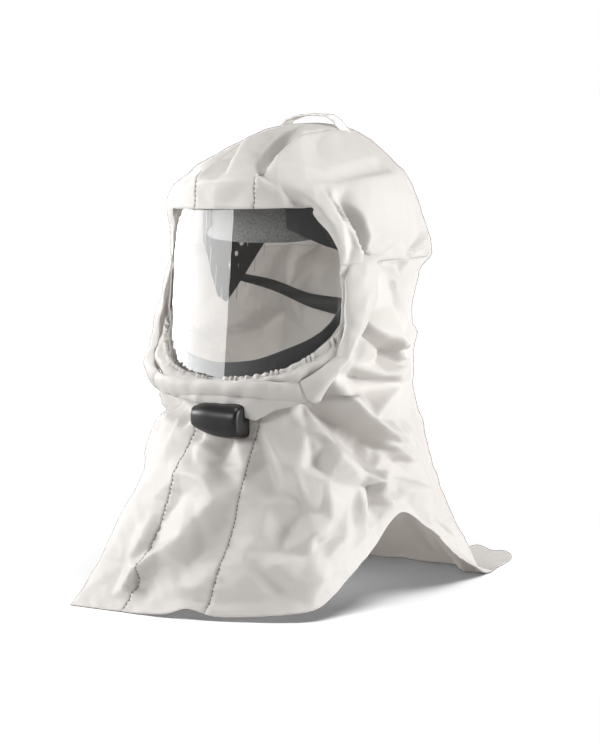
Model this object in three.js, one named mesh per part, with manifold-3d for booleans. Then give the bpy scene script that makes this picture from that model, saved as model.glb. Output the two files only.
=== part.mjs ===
// A long protective hood: a cap of three panels, a clear visor in a gathered cloth edge, and a long
// cape that stands on its front and back hems and arches over the shoulders.
// Millimetres, +Z up, the face towards -Y and the wearer's left towards +X.
import * as THREE from 'three';
import { mergeVertices } from 'three/addons/utils/BufferGeometryUtils.js';
import Module from 'manifold-3d';

const wasm = await Module();
wasm.setup();

// Driving sizes
const CLOTH = 1.5;
const GAP = 0.4;
const NECK_HEIGHT = 232;
const TOP_HEIGHT = 508;
const EAR_SEAM = 366;
const CROWN_SEAM_X = 38;
const BIB_SEAM = { right: -10, left: 21 };
const CAPE_LENGTH = 250;
const BACK_SQUARE = 2.2;

// A table is a list of rows with named columns.
function table(names, rows) {
  const keys = names.split(' ');
  return rows.map((row) => Object.fromEntries(keys.map((key, i) => [key, row[i]])));
}

// Level sections of the cap and neck: front and back are reaches from the middle of the head,
// and square is how boxy the front half is.
const HEAD = table('height halfWidth front back middle square', [
  [232, 120, 145, 122, -8, 2.4],
  [244, 123, 157, 118, -12, 2.7],
  [262, 125, 160, 116, -14, 2.9],
  [300, 124, 157, 116, -14, 3.0],
  [350, 120, 151, 130, -2, 2.9],
  [366, 122, 149, 163, 4, 2.8],
  [392, 119, 146, 156, 0, 2.7],
  [430, 113, 140, 139, -4, 2.7],
  [455, 102, 137, 125, -4, 2.7],
  [464, 90, 127, 119, 2, 2.5],
  [480, 70, 100, 106, 10, 2.3],
  [495, 51, 66, 84, 14, 2.1],
  [504, 34, 32, 62, 15, 2.0],
  [508, 0, -14, 14, 14, 2.0],
]);

// Where each direction of the cape meets the floor or ends, how it flares, and how far it runs on along the floor.
const HEM = table('deg x y z flare flap', [
  [-180, 0, 246, 1.5, 0.5, 95],
  [-160, -60, 252, 1.5, 0.5, 60],
  [-144, -96, 236, 1.5, 0.5, 18],
  [-128, -118, 150, 22, 0.4, 0],
  [-112, -130, 70, 66, 0.4, 0],
  [-95, -130, 5, 88, 0.2, 0],
  [-70, -146, -110, 40, 0.2, 0],
  [-40, -152, -208, 0, 0.25, 0],
  [-10, -81, -212, 0, 0.2, 0],
  [8, -26, -214, 3, 0.1, 0],
  [21, 22, -204, 4, 0.1, 0],
  [48, 122, -144, 14, 0.1, 0],
  [70, 130, -70, 55, 0.1, 0],
  [95, 127, 8, 90, 0.2, 0],
  [110, 130, 56, 74, 0.3, 0],
  [126, 118, 136, 32, 0.4, 0],
  [142, 97, 222, 1.5, 0.5, 20],
  [158, 62, 236, 1.5, 0.5, 96],
  [180, 0, 246, 1.5, 0.5, 95],
]);

// Folds on the side that shows: a ridge rises and a valley sinks along a line between two places.
const FOLDS = table('deg height toDeg toHeight rise width', [
  // cap: seam ridge, open pleat beside it, sag between the seams, dent at the front of the far side
  [19, 468, 36, 500, 3, 12],
  [27, 474, 46, 494, -6, 14],
  [1, 470, 7, 495, -5, 34],
  [-30, 462, -42, 478, -15, 46],
  // cap: folds that run down to the ear
  [54, 440, 60, 428, -4, 14],
  [60, 430, 70, 386, 4, 16],
  [66, 428, 78, 378, 7, 18],
  [70, 412, 82, 376, -9, 17],
  [77, 408, 88, 376, 6, 18],
  // neck: gathers under the ear seam, pocket, and the fold over the shoulder
  [92, 350, 94, 293, -6, 18],
  [104, 356, 106, 310, 5, 16],
  [116, 356, 114, 312, -6, 16],
  [84, 300, 93, 256, -10, 22],
  [88, 285, 98, 258, 6, 16],
  [80, 262, 107, 268, 9, 22],
  [78, 242, 105, 248, -8, 20],
  // cape: shoulder, ridge beside the bib, long folds of the skirt, back
  [74, 222, 100, 150, 11, 52],
  [42, 208, 52, 176, 7, 22],
  [-16, 195, -28, 60, -6, 28],
  [6, 195, 4, 60, -5, 26],
  [32, 150, 34, 30, -7, 32],
  [45, 120, 47, 20, 7, 36],
  [60, 130, 65, 66, -8, 28],
  [120, 180, 126, 70, -9, 40],
  [165, 200, 165, 60, -8, 44],
]);

// The far side has the same long folds, mirrored, because it doesn't show.
const MIRRORED = FOLDS.filter((fold) => fold.deg > 40)
  .map((fold) => ({ ...fold, deg: -fold.deg, toDeg: -fold.toDeg }));

// The window in the cloth, seen from the front.
const WINDOW = table('height halfWidth', [
  [247, 0],
  [249, 30],
  [258, 70],
  [280, 98],
  [305, 112],
  [340, 116],
  [375, 112],
  [412, 100],
  [424, 96],
]);
const WINDOW_TOP_SLOPE = 0.04;

// The line that the casing follows round the lower window.
const CASING_LINE = table('deg height', [
  [-86, 358],
  [-80, 326],
  [-70, 284],
  [-56, 258],
  [-38, 243],
  [-18, 236],
  [0, 234],
  [18, 236],
  [38, 243],
  [56, 258],
  [70, 284],
  [80, 326],
  [86, 358],
]);

// The same table for the other side.
const turned = (rows) => rows.map((row) => ({ ...row, deg: -row.deg })).reverse();

// Curve through one column of a table, smooth and without overshoot.
function curve(rows, along, key) {
  const xs = rows.map((row) => row[along]);
  const ys = rows.map((row) => row[key]);
  const last = xs.length - 1;
  const slope = (i) => (ys[i + 1] - ys[i]) / (xs[i + 1] - xs[i]);
  const tangent = xs.map((_, i) => {
    if (i === 0) return slope(0);
    if (i === last) return slope(last - 1);
    const product = slope(i - 1) * slope(i);
    return product > 0 ? (2 * product) / (slope(i - 1) + slope(i)) : 0;
  });
  return (x) => {
    const at = THREE.MathUtils.clamp(x, xs[0], xs[last]);
    let i = 0;
    while (i < last - 1 && at > xs[i + 1]) i += 1;
    const run = xs[i + 1] - xs[i];
    const t = (at - xs[i]) / run;
    const s = 1 - t;
    return (1 + 2 * t) * s * s * ys[i] + t * s * s * run * tangent[i]
      + t * t * (3 - 2 * t) * ys[i + 1] - t * t * s * run * tangent[i + 1];
  };
}

const headCurve = {};
for (const key of ['halfWidth', 'front', 'back', 'middle', 'square']) headCurve[key] = curve(HEAD, 'height', key);
const hemCurve = {};
for (const key of ['x', 'y', 'z', 'flare', 'flap']) hemCurve[key] = curve(HEM, 'deg', key);

const rounded = (value, square) => Math.sign(value) * Math.abs(value) ** (2 / square);
const wrapDegrees = (deg) => ((((deg + 180) % 360) + 360) % 360) - 180;

function headPoint(deg, height) {
  const angle = THREE.MathUtils.degToRad(deg);
  const square = Math.cos(angle) > 0 ? headCurve.square(height) : BACK_SQUARE;
  const middle = headCurve.middle(height);
  const forward = rounded(Math.cos(angle), square);
  const reach = forward > 0 ? headCurve.front(height) + middle : headCurve.back(height) - middle;
  const x = headCurve.halfWidth(height) * rounded(Math.sin(angle), square);
  return new THREE.Vector3(x, middle - reach * forward, height);
}

// Down from the neck: first the fall to the floor, then the flap that lies on it.
function capePoint(deg, part) {
  const neck = headPoint(deg, NECK_HEIGHT);
  const flap = hemCurve.flap(deg);
  const flare = hemCurve.flare(deg);
  const fall = CAPE_LENGTH / (CAPE_LENGTH + flap);
  const down = Math.min(part / fall, 1);
  const spread = down ** (1 + flare);
  const drop = 1 - (1 - down) ** (1 + 0.35 * flare);
  const along = flap > 0 ? Math.max(part - fall, 0) / (1 - fall) * flap : 0;
  return new THREE.Vector3(
    THREE.MathUtils.lerp(neck.x, hemCurve.x(deg), spread),
    THREE.MathUtils.lerp(neck.y, hemCurve.y(deg), spread) + along,
    THREE.MathUtils.lerp(neck.z, hemCurve.z(deg), drop),
  );
}

// The smooth form: height is real down to the neck, then runs evenly down to 0 at the hem.
function basePoint(degrees, height) {
  const deg = wrapDegrees(degrees);
  if (height >= NECK_HEIGHT) return headPoint(deg, Math.min(height, TOP_HEIGHT));
  return capePoint(deg, 1 - Math.max(height, 0) / NECK_HEIGHT);
}

function normalOf(place, deg, height, degStep, heightStep) {
  if (height > TOP_HEIGHT - 1) return new THREE.Vector3(0, 0, 1);
  const along = place(deg + degStep, height).sub(place(deg - degStep, height));
  const up = place(deg, height + heightStep).sub(place(deg, height - heightStep));
  return along.cross(up).normalize();
}

const foldLines = [...FOLDS, ...MIRRORED].map((fold) => ({
  line: new THREE.Line3(basePoint(fold.deg, fold.height), basePoint(fold.toDeg, fold.toHeight)),
  rise: fold.rise,
  width: fold.width,
}));
const casingPlaces = CASING_LINE.map((row) => basePoint(row.deg, row.height));
const CASING_CALM = { from: 20, to: 34 };

// The cloth's outer face: the smooth form with its folds, calm under the casing and at the floor.
function clothPoint(deg, height) {
  const point = basePoint(deg, height);
  const nearest = new THREE.Vector3();
  let rise = 0;
  for (const fold of foldLines) {
    const away = fold.line.closestPointToPoint(point, true, nearest).distanceTo(point) / fold.width;
    if (away < 1) rise += fold.rise * (1 - away * away) ** 2;
  }
  let toCasing = Infinity;
  for (let i = 0; i + 1 < casingPlaces.length; i += 1) {
    const line = new THREE.Line3(casingPlaces[i], casingPlaces[i + 1]);
    toCasing = Math.min(toCasing, line.closestPointToPoint(point, true, nearest).distanceTo(point));
  }
  const calm = THREE.MathUtils.smoothstep(toCasing, CASING_CALM.from, CASING_CALM.to)
    * THREE.MathUtils.smoothstep(height, 0, 40);
  return point.addScaledVector(normalOf(basePoint, deg, height, 1, 2), rise * calm);
}

// A closed wall over a grid of directions and heights, listed upwards; above and below are measured
// from the cloth's outer face.
function clothWall(degrees, heights, closed, above = 0, below = CLOTH) {
  const positions = [];
  const index = [];
  const known = new Map();
  const columnCount = degrees.length;
  const vertex = (row, column) => {
    const pole = heights[row] >= TOP_HEIGHT;
    const key = pole ? 'pole' : `${row} ${column % columnCount}`;
    if (!known.has(key)) {
      const deg = degrees[column % columnCount];
      const face = clothPoint(deg, heights[row]);
      const normal = normalOf(clothPoint, deg, heights[row], 2, 4);
      const outer = face.clone().addScaledVector(normal, above);
      const inner = face.clone().addScaledVector(normal, -below);
      outer.z = Math.max(outer.z, 0);
      inner.z = Math.max(inner.z, 0);
      known.set(key, positions.length / 3);
      positions.push(...outer.toArray(), ...inner.toArray());
    }
    return known.get(key);
  };
  const edges = new Map();
  const face = (a, b, c) => {
    if (a === b || b === c || a === c) return;
    index.push(a, b, c, a + 1, c + 1, b + 1);
    for (const [from, to] of [[a, b], [b, c], [c, a]]) {
      if (!edges.delete(`${to} ${from}`)) edges.set(`${from} ${to}`, [from, to]);
    }
  };
  for (let row = 0; row + 1 < heights.length; row += 1) {
    for (let column = 0; column < (closed ? columnCount : columnCount - 1); column += 1) {
      const [a, b] = [vertex(row, column), vertex(row, column + 1)];
      const [c, d] = [vertex(row + 1, column + 1), vertex(row + 1, column)];
      face(a, b, c);
      face(a, c, d);
    }
  }
  for (const [from, to] of edges.values()) index.push(from, from + 1, to + 1, from, to + 1, to);
  return { positions, index };
}

function solidOf({ positions, index }) {
  return new wasm.Manifold(new wasm.Mesh({
    numProp: 3,
    vertProperties: new Float32Array(positions),
    triVerts: new Uint32Array(index),
  }));
}

function solidFrom(geometry) {
  const bare = geometry.clone();
  bare.deleteAttribute('normal');
  bare.deleteAttribute('uv');
  const merged = mergeVertices(bare, 1e-4);
  return solidOf({ positions: merged.attributes.position.array, index: merged.index.array });
}

function geometryOf(solid) {
  const { vertProperties, triVerts } = solid.getMesh();
  const geometry = new THREE.BufferGeometry();
  geometry.setAttribute('position', new THREE.BufferAttribute(new Float32Array(vertProperties), 3));
  geometry.setIndex(new THREE.BufferAttribute(new Uint32Array(triVerts), 1));
  geometry.computeVertexNormals();
  return geometry;
}

function boxSolid(min, max) {
  const size = new THREE.Vector3(max[0] - min[0], max[1] - min[1], max[2] - min[2]);
  const geometry = new THREE.BoxGeometry(size.x, size.y, size.z);
  geometry.translate(min[0] + size.x / 2, min[1] + size.y / 2, min[2] + size.z / 2);
  return solidFrom(geometry);
}

// A solid swept through stations: each has an origin, two directions and a clockwise ring of section points.
function sweep(stations) {
  const positions = [];
  const index = [];
  const count = stations[0].ring.length;
  for (const { origin, side, out, ring } of stations) {
    for (const [s, n] of ring) {
      positions.push(...origin.clone().addScaledVector(side, s).addScaledVector(out, n).toArray());
    }
  }
  for (let i = 0; i + 1 < stations.length; i += 1) {
    for (let j = 0; j < count; j += 1) {
      const a = i * count + j;
      const b = i * count + ((j + 1) % count);
      index.push(a, b, b + count, a, b + count, a + count);
    }
  }
  const last = (stations.length - 1) * count;
  const startRing = stations[0].ring.map(([s, n]) => new THREE.Vector2(s, n));
  for (const [a, b, c] of THREE.ShapeUtils.triangulateShape(startRing, [])) {
    const turned = THREE.ShapeUtils.area([startRing[a], startRing[b], startRing[c]]) > 0;
    const [first, second] = turned ? [b, c] : [c, b];
    index.push(a, first, second, last + a, last + second, last + first);
  }
  return { positions, index };
}

// A curved band on an upright cylinder, with its own lower and upper edge at each angle.
function arcBand(rows, { radius, thick, centre, lean = 0, leanFrom = 0, steps, levels = 1 }) {
  const low = curve(rows, 'deg', 'low');
  const high = curve(rows, 'deg', 'high');
  const from = rows[0].deg;
  const to = rows[rows.length - 1].deg;
  const stations = [];
  for (let i = 0; i <= steps; i += 1) {
    const deg = THREE.MathUtils.lerp(from, to, i / steps);
    const angle = THREE.MathUtils.degToRad(deg);
    const outward = new THREE.Vector3(Math.sin(angle), -Math.cos(angle), 0);
    const place = (reach, height) => new THREE.Vector3(0, centre - lean * (leanFrom - height), height)
      .addScaledVector(outward, reach);
    const heights = [];
    for (let k = 0; k <= levels; k += 1) heights.push(THREE.MathUtils.lerp(low(deg), high(deg), k / levels));
    stations.push([
      ...heights.map((height) => place(radius, height)),
      ...heights.reverse().map((height) => place(radius - thick, height)),
    ]);
  }
  const count = stations[0].length;
  const index = [];
  for (let i = 0; i < steps; i += 1) {
    for (let j = 0; j < count; j += 1) {
      const a = i * count + j;
      const b = i * count + ((j + 1) % count);
      index.push(a, b + count, b, a, a + count, b + count);
    }
  }
  const last = steps * count;
  for (let k = 0; k < levels; k += 1) {
    const [a, b, c, d] = [k, k + 1, count - 2 - k, count - 1 - k];
    index.push(a, b, c, a, c, d);
    index.push(last + a, last + c, last + b, last + a, last + d, last + c);
  }
  return { positions: stations.flat().flatMap((point) => point.toArray()), index };
}

// Cloth: the cap, cut by the window and along its two seams
const MANY = 900;
const directions = (from, to, steps) => Array.from({ length: steps + 1 }, (_, i) => from + ((to - from) * i) / steps);
const ALL_ROUND = directions(-180, 180, 48).slice(0, -1);
const CAP_HEIGHTS = [EAR_SEAM + GAP / 2, 381, 397, 412, 427, 442, 455, 465, 476, 487, 497, 504, TOP_HEIGHT];

const windowHalf = curve(WINDOW, 'height', 'halfWidth');
const windowTop = WINDOW[WINDOW.length - 1];
const windowSide = directions(0, 1, 16).map((t) => {
  const height = THREE.MathUtils.lerp(WINDOW[0].height, windowTop.height, t ** 1.8);
  return new THREE.Vector2(windowHalf(height), height);
});
const windowOutline = [...windowSide, ...windowSide.slice(1).reverse().map((p) => new THREE.Vector2(-p.x, p.y))];
for (const point of windowOutline) {
  if (point.y === windowTop.height) point.y += point.x * WINDOW_TOP_SLOPE;
}
const windowPrism = new THREE.ExtrudeGeometry(new THREE.Shape(windowOutline), { depth: 300, bevelEnabled: false });
windowPrism.rotateX(Math.PI / 2).translate(0, -25, 0);
const windowSolid = solidFrom(windowPrism);

const cap = solidOf(clothWall(ALL_ROUND, CAP_HEIGHTS, true)).subtract(windowSolid);
const seamEdge = CROWN_SEAM_X - GAP / 2;
const crownCentre = cap.intersect(boxSolid([-seamEdge, -MANY, 0], [seamEdge, MANY, MANY]));
const crownLeft = cap.intersect(boxSolid([seamEdge + GAP, -MANY, 0], [MANY, MANY, MANY]));
const crownRight = cap.intersect(boxSolid([-MANY, -MANY, 0], [-seamEdge - GAP, MANY, MANY]));

// Cloth: neck and cape, wrapped from one bib seam round the back to the other, and the bib between them
const BIB_TOP = 240;
const SEAM_DEGREES = 0.09;
const CAPE_HEIGHTS = [0, 16, 36, 60, 84, 108, 132, 154, 174, 192, 208, 222, NECK_HEIGHT];
const NECK_HEIGHTS = [NECK_HEIGHT, BIB_TOP, 252, 268, 286, 304, 322, 340, 354, EAR_SEAM - GAP / 2];
const wrapSteps = directions(BIB_SEAM.left + SEAM_DEGREES, BIB_SEAM.right + 360 - SEAM_DEGREES, 44);
const capeWrap = solidOf(clothWall(wrapSteps, [...CAPE_HEIGHTS, ...NECK_HEIGHTS.slice(1)], false)).subtract(windowSolid);
const bibSteps = directions(BIB_SEAM.right + SEAM_DEGREES, BIB_SEAM.left - SEAM_DEGREES, 4);
const capeFront = solidOf(clothWall(bibSteps, [...CAPE_HEIGHTS, BIB_TOP], false));

// What stands on the cloth is trimmed to it with a small gap.
const SKIN_REACH = 112;
const skinSteps = [
  ...wrapSteps.filter((deg) => deg > 360 - SKIN_REACH).map((deg) => deg - 360),
  ...bibSteps,
  ...wrapSteps.filter((deg) => deg < SKIN_REACH),
];
const skinHeights = [...CAPE_HEIGHTS.slice(6, -1), ...NECK_HEIGHTS, ...CAP_HEIGHTS.slice(1, 2)];
const neckSkin = solidOf(clothWall(skinSteps, skinHeights, false, GAP, 16));
const openSkin = neckSkin.subtract(windowSolid);
const capSkin = solidOf(clothWall(ALL_ROUND, CAP_HEIGHTS.slice(4), true, GAP, 7));

// Casing: a rolled strip of cloth that arches over the window's lower edge
const CASING = { half: 14, bulge: 12, sunk: 1.5, steps: 32, sides: 5 };
const casingEnd = CASING_LINE[CASING_LINE.length - 1].deg;
const casingHeight = curve(CASING_LINE, 'deg', 'height');
function casingStation(deg) {
  const origin = basePoint(deg, casingHeight(deg));
  const along = basePoint(deg + 1, casingHeight(deg + 1)).sub(basePoint(deg - 1, casingHeight(deg - 1))).normalize();
  const side = along.clone().cross(normalOf(basePoint, deg, casingHeight(deg), 2, 8)).normalize();
  const out = side.clone().cross(along).normalize();
  const ring = [];
  for (const [wall, order] of [[0, 1], [CLOTH, -1]]) {
    for (let i = 0; i <= CASING.sides; i += 1) {
      const angle = Math.PI * (order > 0 ? i : CASING.sides - i) / CASING.sides;
      ring.push([-(CASING.half - wall) * Math.cos(angle), (CASING.bulge - wall) * Math.sin(angle) - CASING.sunk]);
    }
  }
  return { origin, side, out, ring };
}
const casing = solidOf(sweep(directions(-casingEnd, casingEnd, CASING.steps).map(casingStation))).subtract(neckSkin);

// Visor: a clear sheet bent round the face, its foot further forward than its top
const VISOR = { radius: 128, thick: 1.4, centre: -5, lean: 0.105, leanFrom: 430, steps: 30 };
const visorHalf = table('deg low high', [
  [0, 245, 436],
  [14, 247, 436],
  [33, 256, 436],
  [44, 269, 436],
  [48, 275, 421],
  [52, 282, 405],
  [57, 292, 388],
  [62, 312, 366],
]);
const visorEdges = [...turned(visorHalf.slice(1)), ...visorHalf];
const visor = arcBand(visorEdges, VISOR);

// Dark frame along the inside of the visor's lower edge
const FRAME = { ...VISOR, radius: VISOR.radius - VISOR.thick - GAP, thick: 3 };
const frameHalf = table('deg low high', [
  [0, 247, 264],
  [16, 249, 267],
  [34, 260, 280],
  [50, 281, 297],
  [60, 308, 324],
  [63, 330, 346],
]);
const frameEdges = [...turned(frameHalf.slice(1)), ...frameHalf];
const frame = arcBand(frameEdges, FRAME);

// Head harness: forehead pad, side plates that hang at the ears, strap round the nape
const HARNESS = { radius: 98, thick: 2, centre: -10 };
const sweatband = arcBand(table('deg low high', [
  [-60, 394, 422],
  [-30, 388, 426],
  [0, 387, 427],
  [30, 388, 426],
  [60, 394, 422],
]), { radius: HARNESS.radius - HARNESS.thick - GAP, thick: 5, centre: HARNESS.centre, steps: 20 });
const plateEdges = table('deg low high', [
  [30, 403, 434],
  [53, 385, 434],
  [66, 377, 434],
  [78, 345, 404],
  [92, 311, 402],
  [108, 336, 401],
  [127, 380, 400],
]);
const PLATE_HOLES = table('deg height radius', [
  [100, 384, 4],
  [108, 376, 4],
  [104, 364, 3.2],
  [98, 352, 3.2],
]);
function plate(sign) {
  const rows = sign > 0 ? plateEdges : turned(plateEdges);
  let solid = solidOf(arcBand(rows, { ...HARNESS, steps: 12 }));
  for (const hole of PLATE_HOLES) {
    const cutter = new THREE.CylinderGeometry(hole.radius, hole.radius, 20, 10);
    const angle = THREE.MathUtils.degToRad(sign * hole.deg);
    cutter.rotateZ(angle);
    cutter.translate(HARNESS.radius * Math.sin(angle), HARNESS.centre - HARNESS.radius * Math.cos(angle), hole.height);
    solid = solid.subtract(solidFrom(cutter));
  }
  return solid;
}
const napeStrap = arcBand(table('deg low high', [
  [106, 335, 343],
  [130, 322, 334],
  [158, 301, 317],
  [180, 294, 314],
  [202, 301, 317],
  [230, 322, 334],
  [254, 335, 343],
]), { ...HARNESS, radius: HARNESS.radius + 1.6 + GAP, thick: 1.6, steps: 24 });

// Clips behind the brow that hold the harness to the visor
const CLIP = { ...HARNESS, radius: 121.9, thick: 121.9 - HARNESS.radius - GAP, steps: 2 };
const clipEdges = table('deg low high', [
  [33, 427.5, 434],
  [39, 427.5, 434],
]);

// Chin grip: a moulded nose under the casing
const CHIN = { x: 8, y: -146, z: 204, halfLength: 31, halfHeight: 16.5, depth: 26, sides: 14 };
const chinEnds = table('along scale', [
  [-1, 0.42],
  [-0.93, 0.7],
  [-0.78, 0.9],
  [-0.4, 1],
  [0.5, 1],
  [0.92, 0.96],
  [1, 0.86],
]);
const chinStations = chinEnds.map(({ along, scale }) => ({
  origin: new THREE.Vector3(CHIN.x + along * CHIN.halfLength, CHIN.y, CHIN.z),
  side: new THREE.Vector3(0, 0, -1),
  out: new THREE.Vector3(0, -1, 0),
  ring: directions(Math.PI, 0, CHIN.sides).map((angle) => [
    CHIN.halfHeight * scale * rounded(Math.cos(angle), 2.8),
    CHIN.depth * (0.4 + 0.6 * scale) * rounded(Math.sin(angle), 2.8),
  ]),
}));
const chinGrip = solidOf(sweep(chinStations)).subtract(neckSkin);

// Hanging loop: a tape that bridges the crown from seam to seam
const LOOP = { y: 25, width: 16, thick: 1.4 };
const loopLine = table('x z', [
  [-43, 500],
  [-37, 506],
  [-31, 512],
  [-16, 517],
  [0, 518.5],
  [22, 518],
  [32, 512],
  [38, 505],
  [43, 500],
]);
const loopStations = loopLine.map(({ x, z }, i) => {
  const before = loopLine[Math.max(i - 1, 0)];
  const after = loopLine[Math.min(i + 1, loopLine.length - 1)];
  const along = new THREE.Vector3(after.x - before.x, 0, after.z - before.z).normalize();
  return {
    origin: new THREE.Vector3(x, LOOP.y, z),
    side: new THREE.Vector3(0, -1, 0),
    out: new THREE.Vector3(-along.z, 0, along.x),
    ring: [[-LOOP.width / 2, 0], [-LOOP.width / 2, LOOP.thick], [LOOP.width / 2, LOOP.thick], [LOOP.width / 2, 0]],
  };
});
const hangingLoop = solidOf(sweep(loopStations)).subtract(capSkin);

// Ruffles: the gathered edge that stands between the casing and the visor at its lower corners
const RUFFLE = { from: 22, to: 60, waves: 13, perWave: 3, low: 3.5, high: 12, rest: 1.9, wave: 1.75, thick: 1.2 };
const visorLow = curve(visorEdges, 'deg', 'low');
function onVisor(deg) {
  const angle = THREE.MathUtils.degToRad(deg);
  const height = visorLow(deg);
  const y = VISOR.centre - VISOR.lean * (VISOR.leanFrom - height) - VISOR.radius * Math.cos(angle);
  return new THREE.Vector3(VISOR.radius * Math.sin(angle), y, height);
}
function ruffle(from, to) {
  const stations = directions(0, 1, RUFFLE.waves * RUFFLE.perWave).map((t) => {
    const deg = THREE.MathUtils.lerp(from, to, t);
    const angle = THREE.MathUtils.degToRad(deg);
    const along = onVisor(deg + 0.5).sub(onVisor(deg - 0.5)).normalize();
    const side = along.clone().cross(new THREE.Vector3(Math.sin(angle), -Math.cos(angle), 0)).normalize();
    const lift = RUFFLE.rest + RUFFLE.wave * Math.sin(2 * Math.PI * t * RUFFLE.waves);
    return {
      origin: onVisor(deg),
      side,
      out: side.clone().cross(along).normalize(),
      ring: [
        [-RUFFLE.high, lift * 0.9], [-RUFFLE.high, lift * 0.9 + RUFFLE.thick],
        [-RUFFLE.low, lift + RUFFLE.thick], [-RUFFLE.low, lift],
      ],
    };
  });
  return solidOf(sweep(stations)).subtract(openSkin).subtract(casing);
}

// Colours as seen in the photo
const look = (color, roughness, extra = {}) => new THREE.MeshStandardMaterial({ color, roughness, metalness: 0, ...extra });
const CLOTH_LOOK = () => look('#eae7e4', 0.85, { side: THREE.DoubleSide });

const hood = new THREE.Group();
function place(name, geometry, material) {
  const mesh = new THREE.Mesh(geometry, material);
  mesh.name = name;
  hood.add(mesh);
}
place('crown_panel_centre', geometryOf(crownCentre), CLOTH_LOOK());
place('crown_panel_left', geometryOf(crownLeft), CLOTH_LOOK());
place('crown_panel_right', geometryOf(crownRight), CLOTH_LOOK());
place('cape_panel_front', geometryOf(capeFront), CLOTH_LOOK());
place('cape_wrap', geometryOf(capeWrap), CLOTH_LOOK());
place('visor_casing', geometryOf(casing), CLOTH_LOOK());
place('visor_ruffle_left', geometryOf(ruffle(RUFFLE.from, RUFFLE.to)), CLOTH_LOOK());
place('visor_ruffle_right', geometryOf(ruffle(-RUFFLE.to, -RUFFLE.from)), CLOTH_LOOK());
place('visor', geometryOf(solidOf(visor)), look('#f2f4f4', 0.05, { transparent: true, opacity: 0.25 }));
place('visor_frame', geometryOf(solidOf(frame)), look('#1d1d1f', 0.5));
place('chin_grip', geometryOf(chinGrip), look('#1a1a1b', 0.45));
place('sweatband', geometryOf(solidOf(sweatband)), look('#77777a', 0.95));
place('harness_plate_left', geometryOf(plate(1)), look('#1c1c1e', 0.55));
place('harness_plate_right', geometryOf(plate(-1)), look('#1c1c1e', 0.55));
place('nape_strap', geometryOf(solidOf(napeStrap)), look('#2b2b2d', 0.7));
place('brow_clip_left', geometryOf(solidOf(arcBand(clipEdges, CLIP))), look('#1c1c1e', 0.55));
place('brow_clip_right', geometryOf(solidOf(arcBand(turned(clipEdges), CLIP))), look('#1c1c1e', 0.55));
place('hanging_loop', geometryOf(hangingLoop), CLOTH_LOOK());

// The origin is the middle of the footprint, on the floor.
const box = new THREE.Box3().setFromObject(hood);
const middle = box.getCenter(new THREE.Vector3());
hood.position.set(-middle.x, -middle.y, -box.min.z);
const group = new THREE.Group();
group.add(hood);

export default group;
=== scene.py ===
import math

import bpy
import numpy as np
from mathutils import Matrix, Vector
from mathutils.geometry import delaunay_2d_cdt


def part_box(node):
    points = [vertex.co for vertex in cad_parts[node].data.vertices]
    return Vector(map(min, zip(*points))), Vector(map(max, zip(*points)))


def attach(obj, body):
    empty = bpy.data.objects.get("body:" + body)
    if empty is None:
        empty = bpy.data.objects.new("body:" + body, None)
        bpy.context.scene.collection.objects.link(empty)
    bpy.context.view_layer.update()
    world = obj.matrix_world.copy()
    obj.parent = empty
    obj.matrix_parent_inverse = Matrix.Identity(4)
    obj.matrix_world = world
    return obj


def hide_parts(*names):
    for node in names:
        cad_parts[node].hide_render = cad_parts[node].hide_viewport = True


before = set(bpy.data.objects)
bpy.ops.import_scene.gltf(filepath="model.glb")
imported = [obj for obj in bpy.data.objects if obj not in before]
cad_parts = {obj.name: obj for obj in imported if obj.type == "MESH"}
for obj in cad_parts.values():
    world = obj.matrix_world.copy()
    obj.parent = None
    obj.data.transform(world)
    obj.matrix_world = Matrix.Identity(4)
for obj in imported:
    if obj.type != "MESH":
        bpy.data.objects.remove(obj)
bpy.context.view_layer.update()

# Place of the hood in the frame
# The forms below are worked out in millimetres from the middle of the head. The visor's solid tells where
# that middle stands in the frame: its sides are equal and its foot reaches 152.4 mm forward.
MM = 0.001
visor_low, visor_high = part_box("visor")
VISOR_FOOT_REACH = 152.425
middle_of_head = np.array([(visor_low.x + visor_high.x) / 2, visor_low.y + VISOR_FOOT_REACH * MM, 0.0])


def to_frame(points):
    """Millimetres from the middle of the head to metres in the frame."""
    return np.asarray(points, float) * MM + middle_of_head


# Studio
# A white floor that runs out into a white room. Softboxes on both sides, in front and overhead light the
# hood, a lit ceiling lights the floor alone, and a card on the left shows only as a reflection on the visor.
VIEW_AZIMUTH, VIEW_ELEVATION, VIEW_DISTANCE = 35.0, 6.2, 3.9
VIEW_TARGET = Vector(to_frame([0.0, 0.0, 240.0]))
LENS_MM = 174.5


def around(azimuth, elevation, distance):
    """A place seen from the camera's target in that direction."""
    a, e = math.radians(azimuth), math.radians(elevation)
    heading = Vector((math.sin(a) * math.cos(e), -math.cos(a) * math.cos(e), math.sin(e)))
    return VIEW_TARGET + distance * heading


def face_target(thing, target):
    """Turns a camera or light towards a place."""
    thing.rotation_euler = (target - thing.location).to_track_quat("-Z", "Y").to_euler()


bpy.ops.object.camera_add(location=around(VIEW_AZIMUTH, VIEW_ELEVATION, VIEW_DISTANCE))
camera = bpy.context.object
camera.data.lens = LENS_MM
camera.data.clip_end = 100.0
face_target(camera, VIEW_TARGET)
bpy.context.scene.camera = camera
bpy.context.scene.view_settings.view_transform = "Standard"


def srgb(text):
    """A colour written as sRGB hex, as linear red, green, blue and alpha."""
    parts = [int(text[i:i + 2], 16) / 255 for i in (1, 3, 5)]
    return [v / 12.92 if v <= 0.04045 else ((v + 0.055) / 1.055) ** 2.4 for v in parts] + [1.0]


def add(tree, kind, inputs=None, **settings):
    """One node with its settings; each input takes a value or another node's output."""
    new = tree.nodes.new(kind)
    for name, value in settings.items():
        setattr(new, name, value)
    for name, value in (inputs or {}).items():
        if isinstance(value, bpy.types.NodeSocket):
            tree.links.new(value, new.inputs[name])
        else:
            new.inputs[name].default_value = value
    return new


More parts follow.
